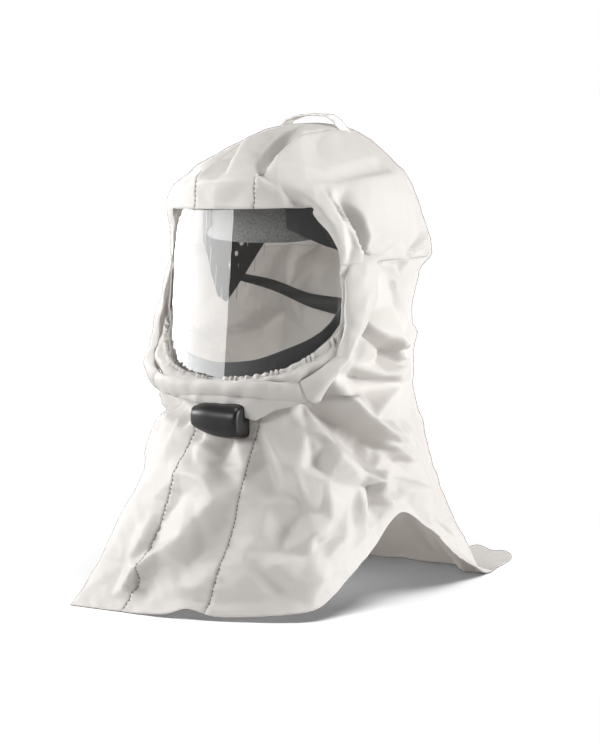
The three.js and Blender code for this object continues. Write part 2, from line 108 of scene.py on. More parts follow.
def new_material(name):
    """An empty material and its node tree."""
    material = bpy.data.materials.new(name)
    material.use_nodes = True
    material.node_tree.nodes.clear()
    return material, material.node_tree


def show(tree, shader):
    """Makes a shader the surface of its material."""
    add(tree, "ShaderNodeOutputMaterial", {"Surface": shader.outputs[0]})


room = bpy.data.worlds.new("white room")
room.use_nodes = True
bpy.context.scene.world = room
sky = room.node_tree
sky.nodes.clear()
seen_ray = add(sky, "ShaderNodeLightPath")
room_light = add(sky, "ShaderNodeBackground", {"Color": srgb("#ffffff"), "Strength": 0.06})
room_wall = add(sky, "ShaderNodeBackground", {"Color": srgb("#ffffff"), "Strength": 1.0})
room_sheen = add(sky, "ShaderNodeBackground", {"Color": srgb("#ffffff"), "Strength": 0.22})
room_lit = add(sky, "ShaderNodeMixShader",
               {0: seen_ray.outputs["Is Glossy Ray"], 1: room_light.outputs[0], 2: room_sheen.outputs[0]})
room_mix = add(sky, "ShaderNodeMixShader",
               {0: seen_ray.outputs["Is Camera Ray"], 1: room_lit.outputs[0], 2: room_wall.outputs[0]})
add(sky, "ShaderNodeOutputWorld", {"Surface": room_mix.outputs[0]})

FLOOR_SIZE = 30.0
bpy.ops.object.select_all(action="DESELECT")
bpy.ops.mesh.primitive_plane_add(size=FLOOR_SIZE, location=(0.0, 0.0, 0.0))
floor = bpy.context.object
floor.name = "floor"
# Matt paint: it shows the hood's shadow and nothing else.
floor_paint, tree = new_material("matt white floor")
paint = add(tree, "ShaderNodeBsdfDiffuse", {"Color": srgb("#dcdcdc")})
show(tree, paint)
floor.data.materials.append(floor_paint)
floor.is_shadow_catcher = True

CEILING_AZIMUTH, CEILING_ELEVATION, CEILING_DISTANCE = 38.0, 68.0, 4.0
CEILING_POWER, CEILING_SPREAD = 4.3, 42.0
bpy.ops.object.light_add(type="SUN", location=around(CEILING_AZIMUTH, CEILING_ELEVATION, CEILING_DISTANCE))
ceiling = bpy.context.object
ceiling.name = "lit ceiling"
ceiling.data.energy = CEILING_POWER
ceiling.data.angle = math.radians(CEILING_SPREAD)
face_target(ceiling, VIEW_TARGET)
floor_only = bpy.data.collections.new("lit by the ceiling")
floor_only.objects.link(floor)
ceiling.light_linking.receiver_collection = floor_only


def area_light(name, azimuth, elevation, distance, width, height, power):
    """A rectangular light that faces the camera's target and isn't seen through the visor."""
    bpy.ops.object.light_add(type="AREA", location=around(azimuth, elevation, distance))
    light = bpy.context.object
    light.name = name
    light.data.shape = "RECTANGLE"
    light.data.size, light.data.size_y = width, height
    light.data.energy = power
    light.visible_transmission = False
    face_target(light, VIEW_TARGET)
    return light


# name, azimuth, elevation, distance, width, height, power
LIGHTS = [
    ("right softbox", 114.0, 12.0, 2.4, 1.0, 1.0, 80.0),
    ("left softbox", -72.0, 14.0, 2.4, 1.2, 1.0, 54.0),
    ("left back softbox", -120.0, 8.0, 2.4, 1.2, 1.0, 36.0),
    ("front softbox", -20.0, 22.0, 2.4, 1.0, 0.8, 33.0),
    ("top softbox", 0.0, 84.0, 2.4, 1.0, 1.0, 32.0),
]
CARD, CARD_TILT = ("reflection card", -80.0, 10.0, 0.8, 2.1, 2.2, 142.0), 31.0
spill = bpy.data.collections.new("kept out of the softboxes")
spill.objects.link(floor)
spill.objects.link(bpy.data.objects["visor"])
for row in LIGHTS:
    area_light(*row).light_linking.receiver_collection = spill
for kept_out in spill.collection_objects:
    kept_out.light_linking.link_state = "EXCLUDE"
card = area_light(*CARD)
card.visible_diffuse = False
card.rotation_euler.rotate_axis("Z", math.radians(CARD_TILT))
mirrors = bpy.data.collections.new("shows the card")
mirrors.objects.link(bpy.data.objects["visor"])
card.light_linking.receiver_collection = mirrors

# Cloth form
# The hood is thin coated cloth, cut as cap, bib and cape. Its form is a stack of level sections from the
# crown to the neck, and below the neck a fall to the hem in every direction round the head, which lies on
# along the floor at the back. Degrees run from the face (0) to the wearer's left (90).

# height, half width, front reach, back reach, middle, squareness of the front
HEAD_SECTIONS = np.array([
    [232, 120, 145, 122, -8, 2.4],
    [244, 123, 157, 118, -12, 2.7],
    [262, 125, 160, 116, -14, 2.9],
    [300, 124, 157, 116, -14, 3.0],
    [350, 120, 151, 130, -2, 2.9],
    [366, 122, 149, 163, 4, 2.8],
    [392, 119, 146, 156, 0, 2.7],
    [430, 113, 140, 139, -4, 2.7],
    [455, 102, 137, 125, -4, 2.7],
    [464, 90, 127, 119, 2, 2.5],
    [480, 70, 100, 106, 10, 2.3],
    [495, 51, 66, 84, 14, 2.1],
    [504, 34, 32, 62, 15, 2.0],
    [507, 18, 5, 40, 14.5, 2.0],
    [508, 0, -14, 14, 14, 2.0],
], float)
BACK_SQUARE = 2.2
NECK_HEIGHT, TOP_HEIGHT, EAR_SEAM = 232.0, 508.0, 366.0

# degrees, floor x, floor y, height, flare, flap along the floor
HEM_PLACES = np.array([
    [-180, 0, 246, 1.5, 0.5, 95],
    [-160, -60, 252, 1.5, 0.5, 60],
    [-144, -96, 236, 1.5, 0.5, 18],
    [-128, -118, 150, 22, 0.4, 0],
    [-112, -130, 70, 66, 0.4, 0],
    [-95, -130, 5, 88, 0.2, 0],
    [-70, -146, -110, 40, 0.2, 0],
    [-40, -152, -208, 0, 0.25, 0],
    [-10, -81, -212, 0, 0.2, 0],
    [8, -26, -214, 3, 0.1, 0],
    [21, 22, -204, 4, 0.1, 0],
    [48, 122, -144, 14, 0.1, 0],
    [70, 130, -70, 55, 0.1, 0],
    [95, 127, 8, 90, 0.2, 0],
    [110, 130, 56, 74, 0.3, 0],
    [126, 118, 136, 32, 0.4, 0],
    [142, 97, 222, 1.5, 0.5, 20],
    [158, 62, 236, 1.5, 0.5, 96],
    [180, 0, 246, 1.5, 0.5, 95],
], float)
CAPE_LENGTH, DROP_BY_FLARE = 250.0, 0.35


def curve(table, column, at):
    """A column of a table as a smooth curve without overshoot."""
    xs, ys = table[:, 0], table[:, column]
    run = np.diff(xs)
    slope = np.diff(ys) / run
    product = slope[:-1] * slope[1:]
    between = np.where(product > 0, 2 * product / (slope[:-1] + slope[1:] + 1e-12), 0)
    tangent = np.concatenate([[slope[0]], between, [slope[-1]]])
    at = np.clip(at, xs[0], xs[-1])
    i = np.clip(np.searchsorted(xs, at, side="right") - 1, 0, len(xs) - 2)
    t = (at - xs[i]) / run[i]
    s = 1 - t
    return ((1 + 2 * t) * s * s * ys[i] + t * s * s * run[i] * tangent[i]
            + t * t * (3 - 2 * t) * ys[i + 1] - t * t * s * run[i] * tangent[i + 1])


def rounded(value, square):
    """A sine or cosine drawn towards a square's."""
    return np.sign(value) * np.abs(value) ** (2 / square)


def head_points(deg, height):
    """Places on the sections from the crown to the neck."""
    half, front, back, middle, square = (curve(HEAD_SECTIONS, k, height) for k in range(1, 6))
    angle = np.radians(deg)
    square = np.where(np.cos(angle) > 0, square, BACK_SQUARE)
    forward = rounded(np.cos(angle), square)
    reach = np.where(forward > 0, front + middle, back - middle)
    return np.stack([half * rounded(np.sin(angle), square), middle - reach * forward, height], -1)


def cape_points(deg, part):
    """Places on the fall from the neck; part is 0 at the neck and 1 at the hem."""
    neck = head_points(deg, np.full_like(deg, NECK_HEIGHT))
    x, y, z, flare, flap = (curve(HEM_PLACES, k, deg) for k in range(1, 6))
    fall = CAPE_LENGTH / (CAPE_LENGTH + flap)
    down = np.minimum(part / fall, 1)
    spread = down ** (1 + flare)
    drop = 1 - (1 - down) ** (1 + DROP_BY_FLARE * flare)
    along = np.maximum(part - fall, 0) / np.maximum(1 - fall, 1e-9) * flap
    return np.stack([neck[..., 0] + (x - neck[..., 0]) * spread,
                     neck[..., 1] + (y - neck[..., 1]) * spread + along,
                     neck[..., 2] + (z - neck[..., 2]) * drop], -1)


def form_points(deg, height):
    """The smooth form: height is real down to the neck, then runs evenly down to 0 at the hem."""
    deg, height = np.broadcast_arrays(np.asarray(deg, float), np.asarray(height, float))
    deg = (deg + 180) % 360 - 180
    upper = head_points(deg, np.clip(height, NECK_HEIGHT, TOP_HEIGHT))
    lower = cape_points(deg, np.clip(1 - height / NECK_HEIGHT, 0, 1))
    return np.where((height >= NECK_HEIGHT)[..., None], upper, lower)


def form_normals(deg, height):
    height = np.clip(height, 0.5, TOP_HEIGHT - 0.3)
    along = form_points(deg + 1, height) - form_points(deg - 1, height)
    up = form_points(deg, height + 2) - form_points(deg, height - 2)
    normal = np.cross(along, up)
    return normal / np.maximum(np.linalg.norm(normal, axis=-1, keepdims=True), 1e-9)


# Cloth mesh
# One net of quads over the whole form: a square patch on the crown, which has no pole, and rings from there
# to the hem. Two columns of the net follow the bib's seams, and one ring follows the seam at the ears.
PATCH_STEPS = 32
RING = 8 * PATCH_STEPS
PATCH_EDGE_HEIGHT = 472.0
BIB_SEAM_RIGHT, BIB_SEAM_LEFT = -10.0, 21.0
BIB_COLUMN_RIGHT, BIB_COLUMN_LEFT = 121, 143
# ring heights: from, to, steps
RING_RUNS = [(PATCH_EDGE_HEIGHT, EAR_SEAM, 34), (EAR_SEAM, NECK_HEIGHT, 42), (NECK_HEIGHT, 0.0, 72)]
PATCH_FINE_STEPS = 400

column_degrees = np.interp(np.arange(RING), [0, BIB_COLUMN_RIGHT, BIB_COLUMN_LEFT, RING],
                           [-180, BIB_SEAM_RIGHT, BIB_SEAM_LEFT, 180])
ring_heights = np.concatenate([np.linspace(a, b, n, endpoint=False) for a, b, n in RING_RUNS] + [[0.0]])
net_deg, net_height, net_faces = [], [], []
patch_index = {}
fine_heights = np.linspace(PATCH_EDGE_HEIGHT, TOP_HEIGHT, PATCH_FINE_STEPS)
fine_width = curve(HEAD_SECTIONS, 1, fine_heights)
for i in range(-PATCH_STEPS, PATCH_STEPS + 1):
    for j in range(-PATCH_STEPS, PATCH_STEPS + 1):
        k = max(abs(i), abs(j))
        if k == PATCH_STEPS:
            continue
        # place along the square ring, starting at the corner that lies on column 0
        if k == 0:
            along = 0.0
        elif j == -k and i < k:
            along = i + k
        elif i == k and j < k:
            along = 2 * k + j + k
        elif j == k and i > -k:
            along = 4 * k + k - i
        else:
            along = 6 * k + k - j
        patch_index[i, j] = len(net_deg)
        column = along / max(8 * k, 1) * RING
        net_deg.append(np.interp(column, np.arange(RING + 1), np.append(column_degrees, 180)))
        net_height.append(np.interp(-fine_width[0] * k / PATCH_STEPS, -fine_width, fine_heights))
ring_start = len(net_deg)
for height in ring_heights:
    net_deg.extend(column_degrees)
    net_height.extend([height] * RING)
for place in range(RING):
    side, step = divmod(place, 2 * PATCH_STEPS)
    k = PATCH_STEPS
    corner = [(-k + step, -k), (k, -k + step), (k - step, k), (-k, k - step)][side]
    patch_index[corner] = ring_start + place
for i in range(-PATCH_STEPS, PATCH_STEPS):
    for j in range(-PATCH_STEPS, PATCH_STEPS):
        net_faces.append([patch_index[i + a, j + b] for a, b in ((0, 0), (1, 0), (1, 1), (0, 1))])
for row in range(len(ring_heights) - 1):
    for column in range(RING):
        first = ring_start + row * RING
        a, b = first + column, first + (column + 1) % RING
        net_faces.append([a, a + RING, b + RING, b])
net_deg, net_height = np.array(net_deg), np.array(net_height)

# The net is drawn onto the two seams of the cap and onto the window's edge, so that the cloth can be cut
# there. What lies behind FRONT_Y is far off the window, and what lies under the ear seam far off the cap's.
CROWN_SEAM_X, FRONT_Y, FAR_OFF, DRAWN_WITHIN = 38.0, -25.0, 50.0, 12.0
# height, half width
WINDOW = np.array([
    [247, 0], [249, 30], [258, 70], [280, 98], [305, 111], [340, 111], [375, 107], [398, 100], [412, 95],
    [424, 91],
], float)
WINDOW_TOP_SLOPE = 0.04


def outside_window(points):
    """How far outside the window a place is, in millimetres; below 0 inside."""
    side = np.abs(points[:, 0]) - curve(WINDOW, 1, points[:, 2])
    top = points[:, 2] - WINDOW[-1, 0] - WINDOW_TOP_SLOPE * points[:, 0]
    foot = WINDOW[0, 0] - points[:, 2]
    return np.where(points[:, 1] < FRONT_Y, np.maximum(np.maximum(side, top), foot), FAR_OFF)


def outside_centre(points):
    """How far outside the cap's middle panel a place is, in millimetres; below 0 inside."""
    return np.where(net_height > EAR_SEAM - 1, np.abs(points[:, 0]) - CROWN_SEAM_X, FAR_OFF)


def draw_net_to(field):
    """Moves the nearest points of the net onto the line where the field is 0 and parts the faces on it."""
    global net_faces
    far = field(form_points(net_deg, net_height))
    loops = [(f[i], f[(i + 1) % len(f)]) for f in net_faces for i in range(len(f))]
    ends = np.unique(np.sort(np.array(loops), axis=1), axis=0)
    ends = ends[(far[ends[:, 0]] * far[ends[:, 1]] < 0) & (np.abs(far[ends]).max(1) < DRAWN_WITHIN)]
    share = far[ends[:, 0]] / (far[ends[:, 0]] - far[ends[:, 1]])
    nearer = np.where(share < 0.5, ends[:, 0], ends[:, 1])
    other = np.where(share < 0.5, ends[:, 1], ends[:, 0])
    share = np.minimum(share, 1 - share)
    moved = {}
    for k in np.argsort(share):
        moved.setdefault(nearer[k], (other[k], share[k]))
    start_deg, start_height = net_deg.copy(), net_height.copy()
    for point, (toward, part) in moved.items():
        turn = (start_deg[toward] - start_deg[point] + 180) % 360 - 180
        net_deg[point] += part * turn
        net_height[point] += part * (start_height[toward] - start_height[point])
        far[point] = 0.0
    parted = []
    for face in net_faces:
        signs = np.sign(far[face])
        if len(face) == 4 and signs.min() < 0 < signs.max():
            turn = int(signs[0] != 0)
            a, b, c, d = face[turn:] + face[:turn]
            parted += [[a, b, c], [c, d, a]]
        else:
            parted.append(face)
    net_faces = parted
    return far


from_centre = draw_net_to(outside_centre)
from_window = draw_net_to(outside_window)
net_faces = [face for face in net_faces if from_window[face].mean() > 0]
smooth_form = form_points(net_deg, net_height)
form_normal = form_normals(net_deg, net_height)

# Round the window the cloth turns in to the visor, which is an arc that leans forward at its foot.
VISOR_RADIUS, VISOR_MIDDLE_Y, VISOR_LEAN, VISOR_LEAN_FROM = 128.0, -5.0, 0.105, 430.0
TUCK_REACH, TUCK_OFF, TUCK_TOP, TUCK_WIDEST = 26.0, 2.5, (400.0, 424.0), 118.0


def smoothstep(value, low, high):
    t = np.clip((value - low) / (high - low), 0, 1)
    return t * t * (3 - 2 * t)


def visor_points(deg, height, off):
    """A place off the visor's outer face."""
    angle = np.radians(deg)
    reach = VISOR_RADIUS + off
    middle = VISOR_MIDDLE_Y - VISOR_LEAN * (VISOR_LEAN_FROM - height)
    return np.stack([reach * np.sin(angle), middle - reach * np.cos(angle), height], -1)


def tuck_to_visor(points, beyond):
    """Draws places near the window's edge to the visor; beyond is how far outside the window they are."""
    near = (1 - smoothstep(beyond, 0, TUCK_REACH)) * (1 - smoothstep(points[:, 2], *TUCK_TOP))
    x = np.minimum(np.abs(points[:, 0]), TUCK_WIDEST)
    arc = np.sqrt((VISOR_RADIUS + TUCK_OFF) ** 2 - x ** 2)
    face = VISOR_MIDDLE_Y - VISOR_LEAN * (VISOR_LEAN_FROM - points[:, 2]) - arc
    points = points.copy()
    points[:, 1] += np.where(points[:, 1] < FRONT_Y, near * (face - points[:, 1]), 0)
    return points


smooth_form = tuck_to_visor(smooth_form, outside_window(smooth_form))

# Folds
# Coated cloth folds like paper: straight ridges and valleys with flat facets between them, and only a few
# broad soft swells. The two sides of the hood hang alike, so the folds at the side are there on both.
# rise, line of (degrees, height)
CREASES = [
    (6, [(23, 467), (29, 476), (35, 483), (41, 496), (70, 506)]),
    (-8, [(19, 461), (24, 477), (26, 490), (36, 499)]),
    (-7, [(-2, 457), (-6, 474), (-17, 487), (-46, 499)]),
    (4.5, [(0, 460), (-2, 476), (-10, 489), (-19, 500)]),
    (3, [(-16, 452), (-1, 455), (16, 457), (28, 452), (49, 451), (63, 452)]),
    (-6, [(35, 438), (44, 427), (50, 417)]),
    (6, [(40, 442), (48, 428), (56, 403), (61, 382), (64, 369)]),
    (6, [(53, 447), (58, 430), (63, 411), (69, 389)]),
    (-4, [(56, 445), (59, 430), (64, 415)]),
    (6, [(59, 435), (64, 419), (70, 401), (74, 380), (77, 368)]),
    (-10, [(65, 431), (70, 416), (74, 400), (77, 385), (78, 372)]),
    (7, [(70, 427), (75, 413), (79, 394), (84, 375)]),
    (-5, [(83, 379), (85, 371), (85, 362)]),
    (-5, [(85, 361), (90, 360), (94, 362), (100, 368), (126, 376)]),
    (-5, [(95, 366), (103, 377), (116, 390)]),
    (4, [(99, 367), (110, 380), (131, 391)]),
    (4, [(87, 352), (90, 320)]),
    (-6, [(89, 356), (95, 316)]),
    (4, [(91, 348), (105, 308)]),
    (-4, [(100, 344), (115, 300)]),
    (9, [(81, 310), (88, 292), (95, 275), (100, 260)]),
    (-11, [(80, 293), (88, 274), (96, 258)]),
    (6, [(78, 293), (82, 276), (84, 263)]),
    (6, [(96, 271), (114, 281)]),
    (-7, [(68, 251), (75, 244), (85, 238), (107, 233)]),
    (6, [(71, 262), (87, 251), (110, 256)]),
    (9, [(42, 226), (50, 194), (59, 171), (69, 132), (78, 98), (88, 33)]),
    (10, [(62, 239), (65, 223), (74, 195), (86, 161), (97, 133)]),
    (-6, [(77, 168), (85, 140), (91, 111)]),
    (5, [(83, 157), (95, 121), (105, 115)]),
    (-5, [(87, 123), (96, 105), (105, 108)]),
    (-4, [(90, 96), (95, 78), (101, 71)]),
    (-5, [(102, 211), (108, 181), (109, 160)]),
    (5, [(-23, 201), (-24, 175)]),
    (-6, [(-20, 208), (-25, 196)]),
    (-6, [(-16, 194), (-4, 192), (0, 184)]),
    (4, [(9, 157), (6, 143), (4, 124)]),
    (-7, [(8, 202), (5, 184), (8, 164)]),
    (4, [(-4, 198), (-2, 178)]),
    (4, [(20, 141), (13, 120), (8, 102)]),
    (6, [(7, 106), (6, 85), (-2, 67), (-12, 46), (-15, 24)]),
    (-5, [(-2, 54), (-9, 38), (-13, 26)]),
    (5, [(-20, 157), (-19, 121)]),
    (5, [(-15, 107), (-15, 80), (-18, 57)]),
    (-5, [(-10, 96), (-9, 75)]),
    (4, [(-28, 107), (-22, 94)]),
    (-3, [(-41, 55), (-19, 54)]),
    (-5, [(23, 186), (28, 164), (33, 135)]),
    (4, [(26, 190), (32, 164), (35, 141)]),
    (5, [(32, 180), (37, 159), (41, 137), (41, 123)]),
    (5, [(43, 195), (41, 154), (44, 116)]),
    (5, [(52, 178), (52, 141), (53, 93), (53, 74)]),
    (3, [(31, 120), (31, 92)]),
    (-5, [(43, 112), (38, 90), (36, 70)]),
    (5, [(50, 107), (46, 83), (45, 62)]),
    (-4, [(55, 71), (49, 73)]),
    (5, [(52, 50), (49, 34), (48, 16)]),
    (5, [(27, 71), (34, 55), (40, 35)]),
    (4, [(68, 106), (69, 68)]),
    (4, [(63, 93), (64, 56)]),
    (-4, [(65, 83), (67, 43)]),
    (-7, [(76, 97), (78, 65), (82, 21)]),
    (4, [(70, 107), (71, 76), (73, 34)]),
    (4, [(115, 124), (114, 77), (111, 17)]),
    (-3, [(-38, 16), (-20, 16), (0, 16), (20, 16), (40, 18)]),
    (7, [(132, 190), (138, 60)]),
    (6, [(168, 190), (170, 70)]),
    (-9, [(-104, 273), (-125, 283), (-143, 299)]),
    (6, [(-108, 290), (-127, 301), (-146, 318)]),
    (-5, [(-131, 372), (-134, 350), (-139, 325)]),
    (-5, [(-147, 375), (-150, 350), (-153, 322)]),
    (5, [(-140, 374), (-143, 345)]),
    (-5, [(128, 358), (126, 300)]),
    (5, [(140, 358), (141, 290)]),
    (-6, [(152, 356), (150, 280)]),
    (5, [(165, 358), (167, 300)]),
    (-5, [(178, 358), (178, 285)]),
]
# rise, width, line of (degrees, height)
SWELLS = [
    (-20, 25, [(-48, 224), (-33, 218), (-20, 214)]),
    (-4, 16, [(27, 457), (50, 457), (66, 457), (79, 461), (101, 465)]),
    (-18, 32, [(49, 226), (56, 206), (67, 175), (74, 146)]),
    (-5, 24, [(6, 192), (9, 172), (12, 150)]),
    (-4, 26, [(20, 100), (14, 69), (10, 50)]),
    (-4, 16, [(31, 56), (37, 33)]),
    (-3, 14, [(84, 73), (95, 53)]),
    (-6, 26, [(120, 180), (126, 70)]),
    (-8, 30, [(150, 200), (152, 60)]),
]
SIDE_DEGREES, SWELL_STRENGTH = 58, 1.4


def with_other_side(folds):
    """The folds and, for those at the near side, the same ones at the far side."""
    return folds + [(*kind, [(-deg, height) for deg, height in line]) for *kind, line in folds
                    if np.mean([deg for deg, height in line]) > SIDE_DEGREES]


def to_line(points, line):
    """Distance from points to a line of several places."""
    nearest = np.full(len(points), 1e9)
    for start, end in zip(line[:-1], line[1:]):
        run = end - start
        t = np.clip(((points - start) @ run) / max(run @ run, 1e-9), 0, 1)
        nearest = np.minimum(nearest, np.linalg.norm(points - start - t[:, None] * run, axis=1))
    return nearest


rise = np.zeros(len(smooth_form))
for up, width, line in with_other_side(SWELLS):
    places = np.array([form_points(deg, height) for deg, height in line])
    away = np.clip(to_line(smooth_form, places) / width, 0, 1)
    rise += SWELL_STRENGTH * up * (1 - away ** 2) ** 2

# The creases and, away from them, a scatter of small dents are the corners of the facets, on the cloth laid
# flat: millimetres round the hood and height. The cap is stiffer, and the folds fade at crown and hem.
CREASE_STRENGTH, CREASE_END, MM_A_DEGREE = 2.2, 0.3, 2.2
CAP_STIFFNESS, CAP_FROM, CAP_TO, CROWN_FADE, HEM_FADE = 0.32, 350, 374, 12, 30
DENT_APART, DENT_STRAY, DENT_CLEAR, DENT_SEED = (22.0, 26.0), 0.35, 11.0, 21
# height, rise of the dents
DENT_RISE = np.array([
    [0, 0.8], [30, 2.4], [240, 2.4], [366, 1.8], [400, 0.8], [430, 0.4], [508, 0.3],
], float)
SAME_PLACE, CROSSING_CORNERS, THINNEST_FACET = 1e-3, 4, 1e-6
corners, corner_rise, crease_edges = [], [], []
for up, line in with_other_side(CREASES):
    for turn in (-360, 0, 360):
        first = len(corners)
        for k, (deg, height) in enumerate(line):
            fade = CREASE_END if k in (0, len(line) - 1) else 1.0
            corners.append(((deg + turn) * MM_A_DEGREE, height))
            corner_rise.append(CREASE_STRENGTH * up * fade)
        crease_edges += [(first + k, first + k + 1) for k in range(len(line) - 1)]
chance = np.random.default_rng(DENT_SEED)
round_about = 360 * MM_A_DEGREE
columns = int(round_about / DENT_APART[0])
rows = np.arange(-1, int(TOP_HEIGHT / DENT_APART[1]) + 2)
row, column = (grid.ravel() for grid in np.meshgrid(rows, np.arange(columns), indexing="ij"))
along = column + 0.5 * (row % 2) + chance.uniform(-DENT_STRAY, DENT_STRAY, len(row))
up = row + chance.uniform(-DENT_STRAY, DENT_STRAY, len(row))
dents = np.column_stack([along * round_about / columns - round_about / 2, up * DENT_APART[1]])
dent_rise = chance.normal(size=len(row)) * np.interp(dents[:, 1], DENT_RISE[:, 0], DENT_RISE[:, 1])
clear = np.full(len(dents), 1e9)
for i, j in crease_edges:
    clear = np.minimum(clear, to_line(dents, np.array([corners[i], corners[j]])))
for turn in (-round_about, 0, round_about):
    corners += [(u + turn, v) for u, v in dents[clear > DENT_CLEAR]]
    corner_rise += list(dent_rise[clear > DENT_CLEAR])
flat, _, facets, from_corner, _, _ = delaunay_2d_cdt(
    [Vector(c) for c in corners], crease_edges, [], 0, SAME_PLACE)
flat = np.array([list(v) for v in flat])
corners, corner_rise = np.array(corners), np.array(corner_rise)
flat_rise = np.zeros(len(flat))
for k, came_from in enumerate(from_corner):
    if came_from:
        flat_rise[k] = np.mean(corner_rise[list(came_from)])
    else:
        near = np.argsort(np.linalg.norm(corners - flat[k], axis=1))[:CROSSING_CORNERS]
        flat_rise[k] = np.mean(corner_rise[near])
net_u = net_deg * MM_A_DEGREE
for facet in facets:
    p, q, r = flat[list(facet)]
    rise_p, rise_q, rise_r = flat_rise[list(facet)]
    low, high = np.minimum(np.minimum(p, q), r), np.maximum(np.maximum(p, q), r)
    in_columns = (net_u >= low[0]) & (net_u <= high[0])
    near = np.where(in_columns & (net_height >= low[1]) & (net_height <= high[1]))[0]
    whole = (q[0] - p[0]) * (r[1] - p[1]) - (r[0] - p[0]) * (q[1] - p[1])
    if len(near) == 0 or abs(whole) < THINNEST_FACET:
        continue
    x, y = net_u[near] - p[0], net_height[near] - p[1]
    to_q = (x * (r[1] - p[1]) - (r[0] - p[0]) * y) / whole
    to_r = ((q[0] - p[0]) * y - x * (q[1] - p[1])) / whole
    inside = (to_q >= 0) & (to_r >= 0) & (to_q + to_r <= 1)
    facet_rise = rise_p + to_q * (rise_q - rise_p) + to_r * (rise_r - rise_p)
    on_crown = np.clip((TOP_HEIGHT - net_height[near]) / CROWN_FADE, 0, 1)
    stiff = 1 - CAP_STIFFNESS * smoothstep(net_height[near], CAP_FROM, CAP_TO)
    rise[near[inside]] += (facet_rise * on_crown * stiff)[inside]
rise *= np.clip(net_height / HEM_FADE, 0, 1)

# The bib's far side hangs smoother than the side that the cape pulls on.
FAR_SIDE, FAR_SIDE_NEAR, FAR_SIDE_END, FAR_SIDE_CALM = -36, 14, 34, 0.5
calm = FAR_SIDE_CALM * smoothstep(-np.abs(net_deg - FAR_SIDE), -FAR_SIDE_END, -FAR_SIDE_NEAR)
rise *= np.where(net_height < NECK_HEIGHT, 1 - calm, 1)

# The bib's seams draw the cloth into small puckers on both sides.
PUCKER_MM, PUCKER_RISE, PUCKER_REACH = 11.0, 1.0, 9.0
PUCKER_TOP, PUCKER_FOOT, PUCKER_STEPS = 215, 8, 24
PUCKER_SWAY, PUCKER_SWAY_MM = 2.2, 17
for seam in (BIB_SEAM_RIGHT, BIB_SEAM_LEFT):
    seam_heights = np.linspace(PUCKER_TOP, PUCKER_FOOT, PUCKER_STEPS)
    seam_line = np.array([form_points(seam, height) for height in seam_heights])
    pucker = PUCKER_RISE * np.exp(-to_line(smooth_form, seam_line) / PUCKER_REACH)
    turn = 2 * np.pi * smooth_form[:, 2] / PUCKER_MM + PUCKER_SWAY * np.sin(net_height / PUCKER_SWAY_MM)
    rise += np.where(net_height < NECK_HEIGHT, pucker * np.sin(turn), 0)
cloth = smooth_form + form_normal * rise[:, None]

# The front hem stands up off the floor in one small arch, the cape rises higher over the shoulders, and the
# flap behind lies in shallow waves.
HEM_ARCH_DEGREES, HEM_ARCH_HALF, HEM_ARCH_RISE, HEM_ARCH_REACH = 16.0, 5.0, 8.0, 45.0
arch = np.exp(-((net_deg - HEM_ARCH_DEGREES) / HEM_ARCH_HALF) ** 2)
cloth[:, 2] += HEM_ARCH_RISE * (arch * np.clip(1 - net_height / HEM_ARCH_REACH, 0, 1) ** 2)
SIDE_ARCH_DEGREES, SIDE_ARCH_HALF, SIDE_ARCH_RISE, SIDE_ARCH_REACH = 95.0, 11.0, 7.0, 90
side_arch = np.exp(-((np.abs(net_deg) - SIDE_ARCH_DEGREES) / SIDE_ARCH_HALF) ** 2)
cloth[:, 2] += SIDE_ARCH_RISE * (side_arch * np.clip(1 - net_height / SIDE_ARCH_REACH, 0, 1))
FLAP_FROM_Y, FLAP_LENGTH, FLAP_BELOW = 240.0, 95.0, 90
FLAP_WAVE, FLAP_WAVE_MM, FLAP_RIPPLE_MM = 6.0, 17.0, 7.3
flap_share = np.clip((cloth[:, 1] - FLAP_FROM_Y) / FLAP_LENGTH, 0, 1) * (net_height < FLAP_BELOW)
flap_wave = 0.6 + 0.5 * np.sin(cloth[:, 0] / FLAP_WAVE_MM) + 0.3 * np.sin(cloth[:, 0] / FLAP_RIPPLE_MM)
cloth[:, 2] += FLAP_WAVE * flap_share ** 1.5 * flap_wave

# Wrinkles
# The cloth is cut a little larger than the form it hangs in, so it buckles. A cloth simulation holds it
# softly at the folded form and lets the spare cloth find its own small creases.
SETTLE_FRAMES = 24


def settled(points, faces, hold, spare):
    """The cloth after settling: hold is how firmly a place keeps its form, spare the share of extra cloth."""
    mesh = bpy.data.meshes.new("settling")
    mesh.from_pydata((points * MM).tolist(), [], faces)
    mesh.update()
    body = bpy.data.objects.new("settling", mesh)
    bpy.context.scene.collection.objects.link(body)
    most = float(spare.max())
    for name, weights in (("hold", hold), ("taut", 1 - spare / most)):
        group = body.vertex_groups.new(name=name)
        weights = np.round(weights, 2)
        for weight in np.unique(weights):
            group.add(np.where(weights == weight)[0].tolist(), float(weight), "REPLACE")
    settle = body.modifiers.new("settle", "CLOTH")
    how = settle.settings
    how.quality = 6
    how.mass = 0.05
    how.air_damping = 4.0
    how.tension_stiffness = how.compression_stiffness = 60.0
    how.shear_stiffness = 20.0
    how.bending_stiffness = 1.0
    how.tension_damping = how.compression_damping = how.shear_damping = 8.0
    how.bending_damping = 0.5
    how.vertex_group_mass = "hold"
    how.pin_stiffness = 0.005
    how.vertex_group_shrink = "taut"
    how.shrink_min, how.shrink_max = -most, 0.0
    how.effector_weights.gravity = 0.0
    settle.collision_settings.use_collision = False
    settle.point_cache.frame_start = 1
    settle.point_cache.frame_end = SETTLE_FRAMES
    for step in range(1, SETTLE_FRAMES + 1):
        bpy.context.scene.frame_set(step)
    result = body.evaluated_get(bpy.context.evaluated_depsgraph_get()).data
    places = np.empty(len(points) * 3)
    result.vertices.foreach_get("co", places)
    bpy.context.scene.frame_set(1)
    bpy.data.objects.remove(body)
    return places.reshape(-1, 3) / MM


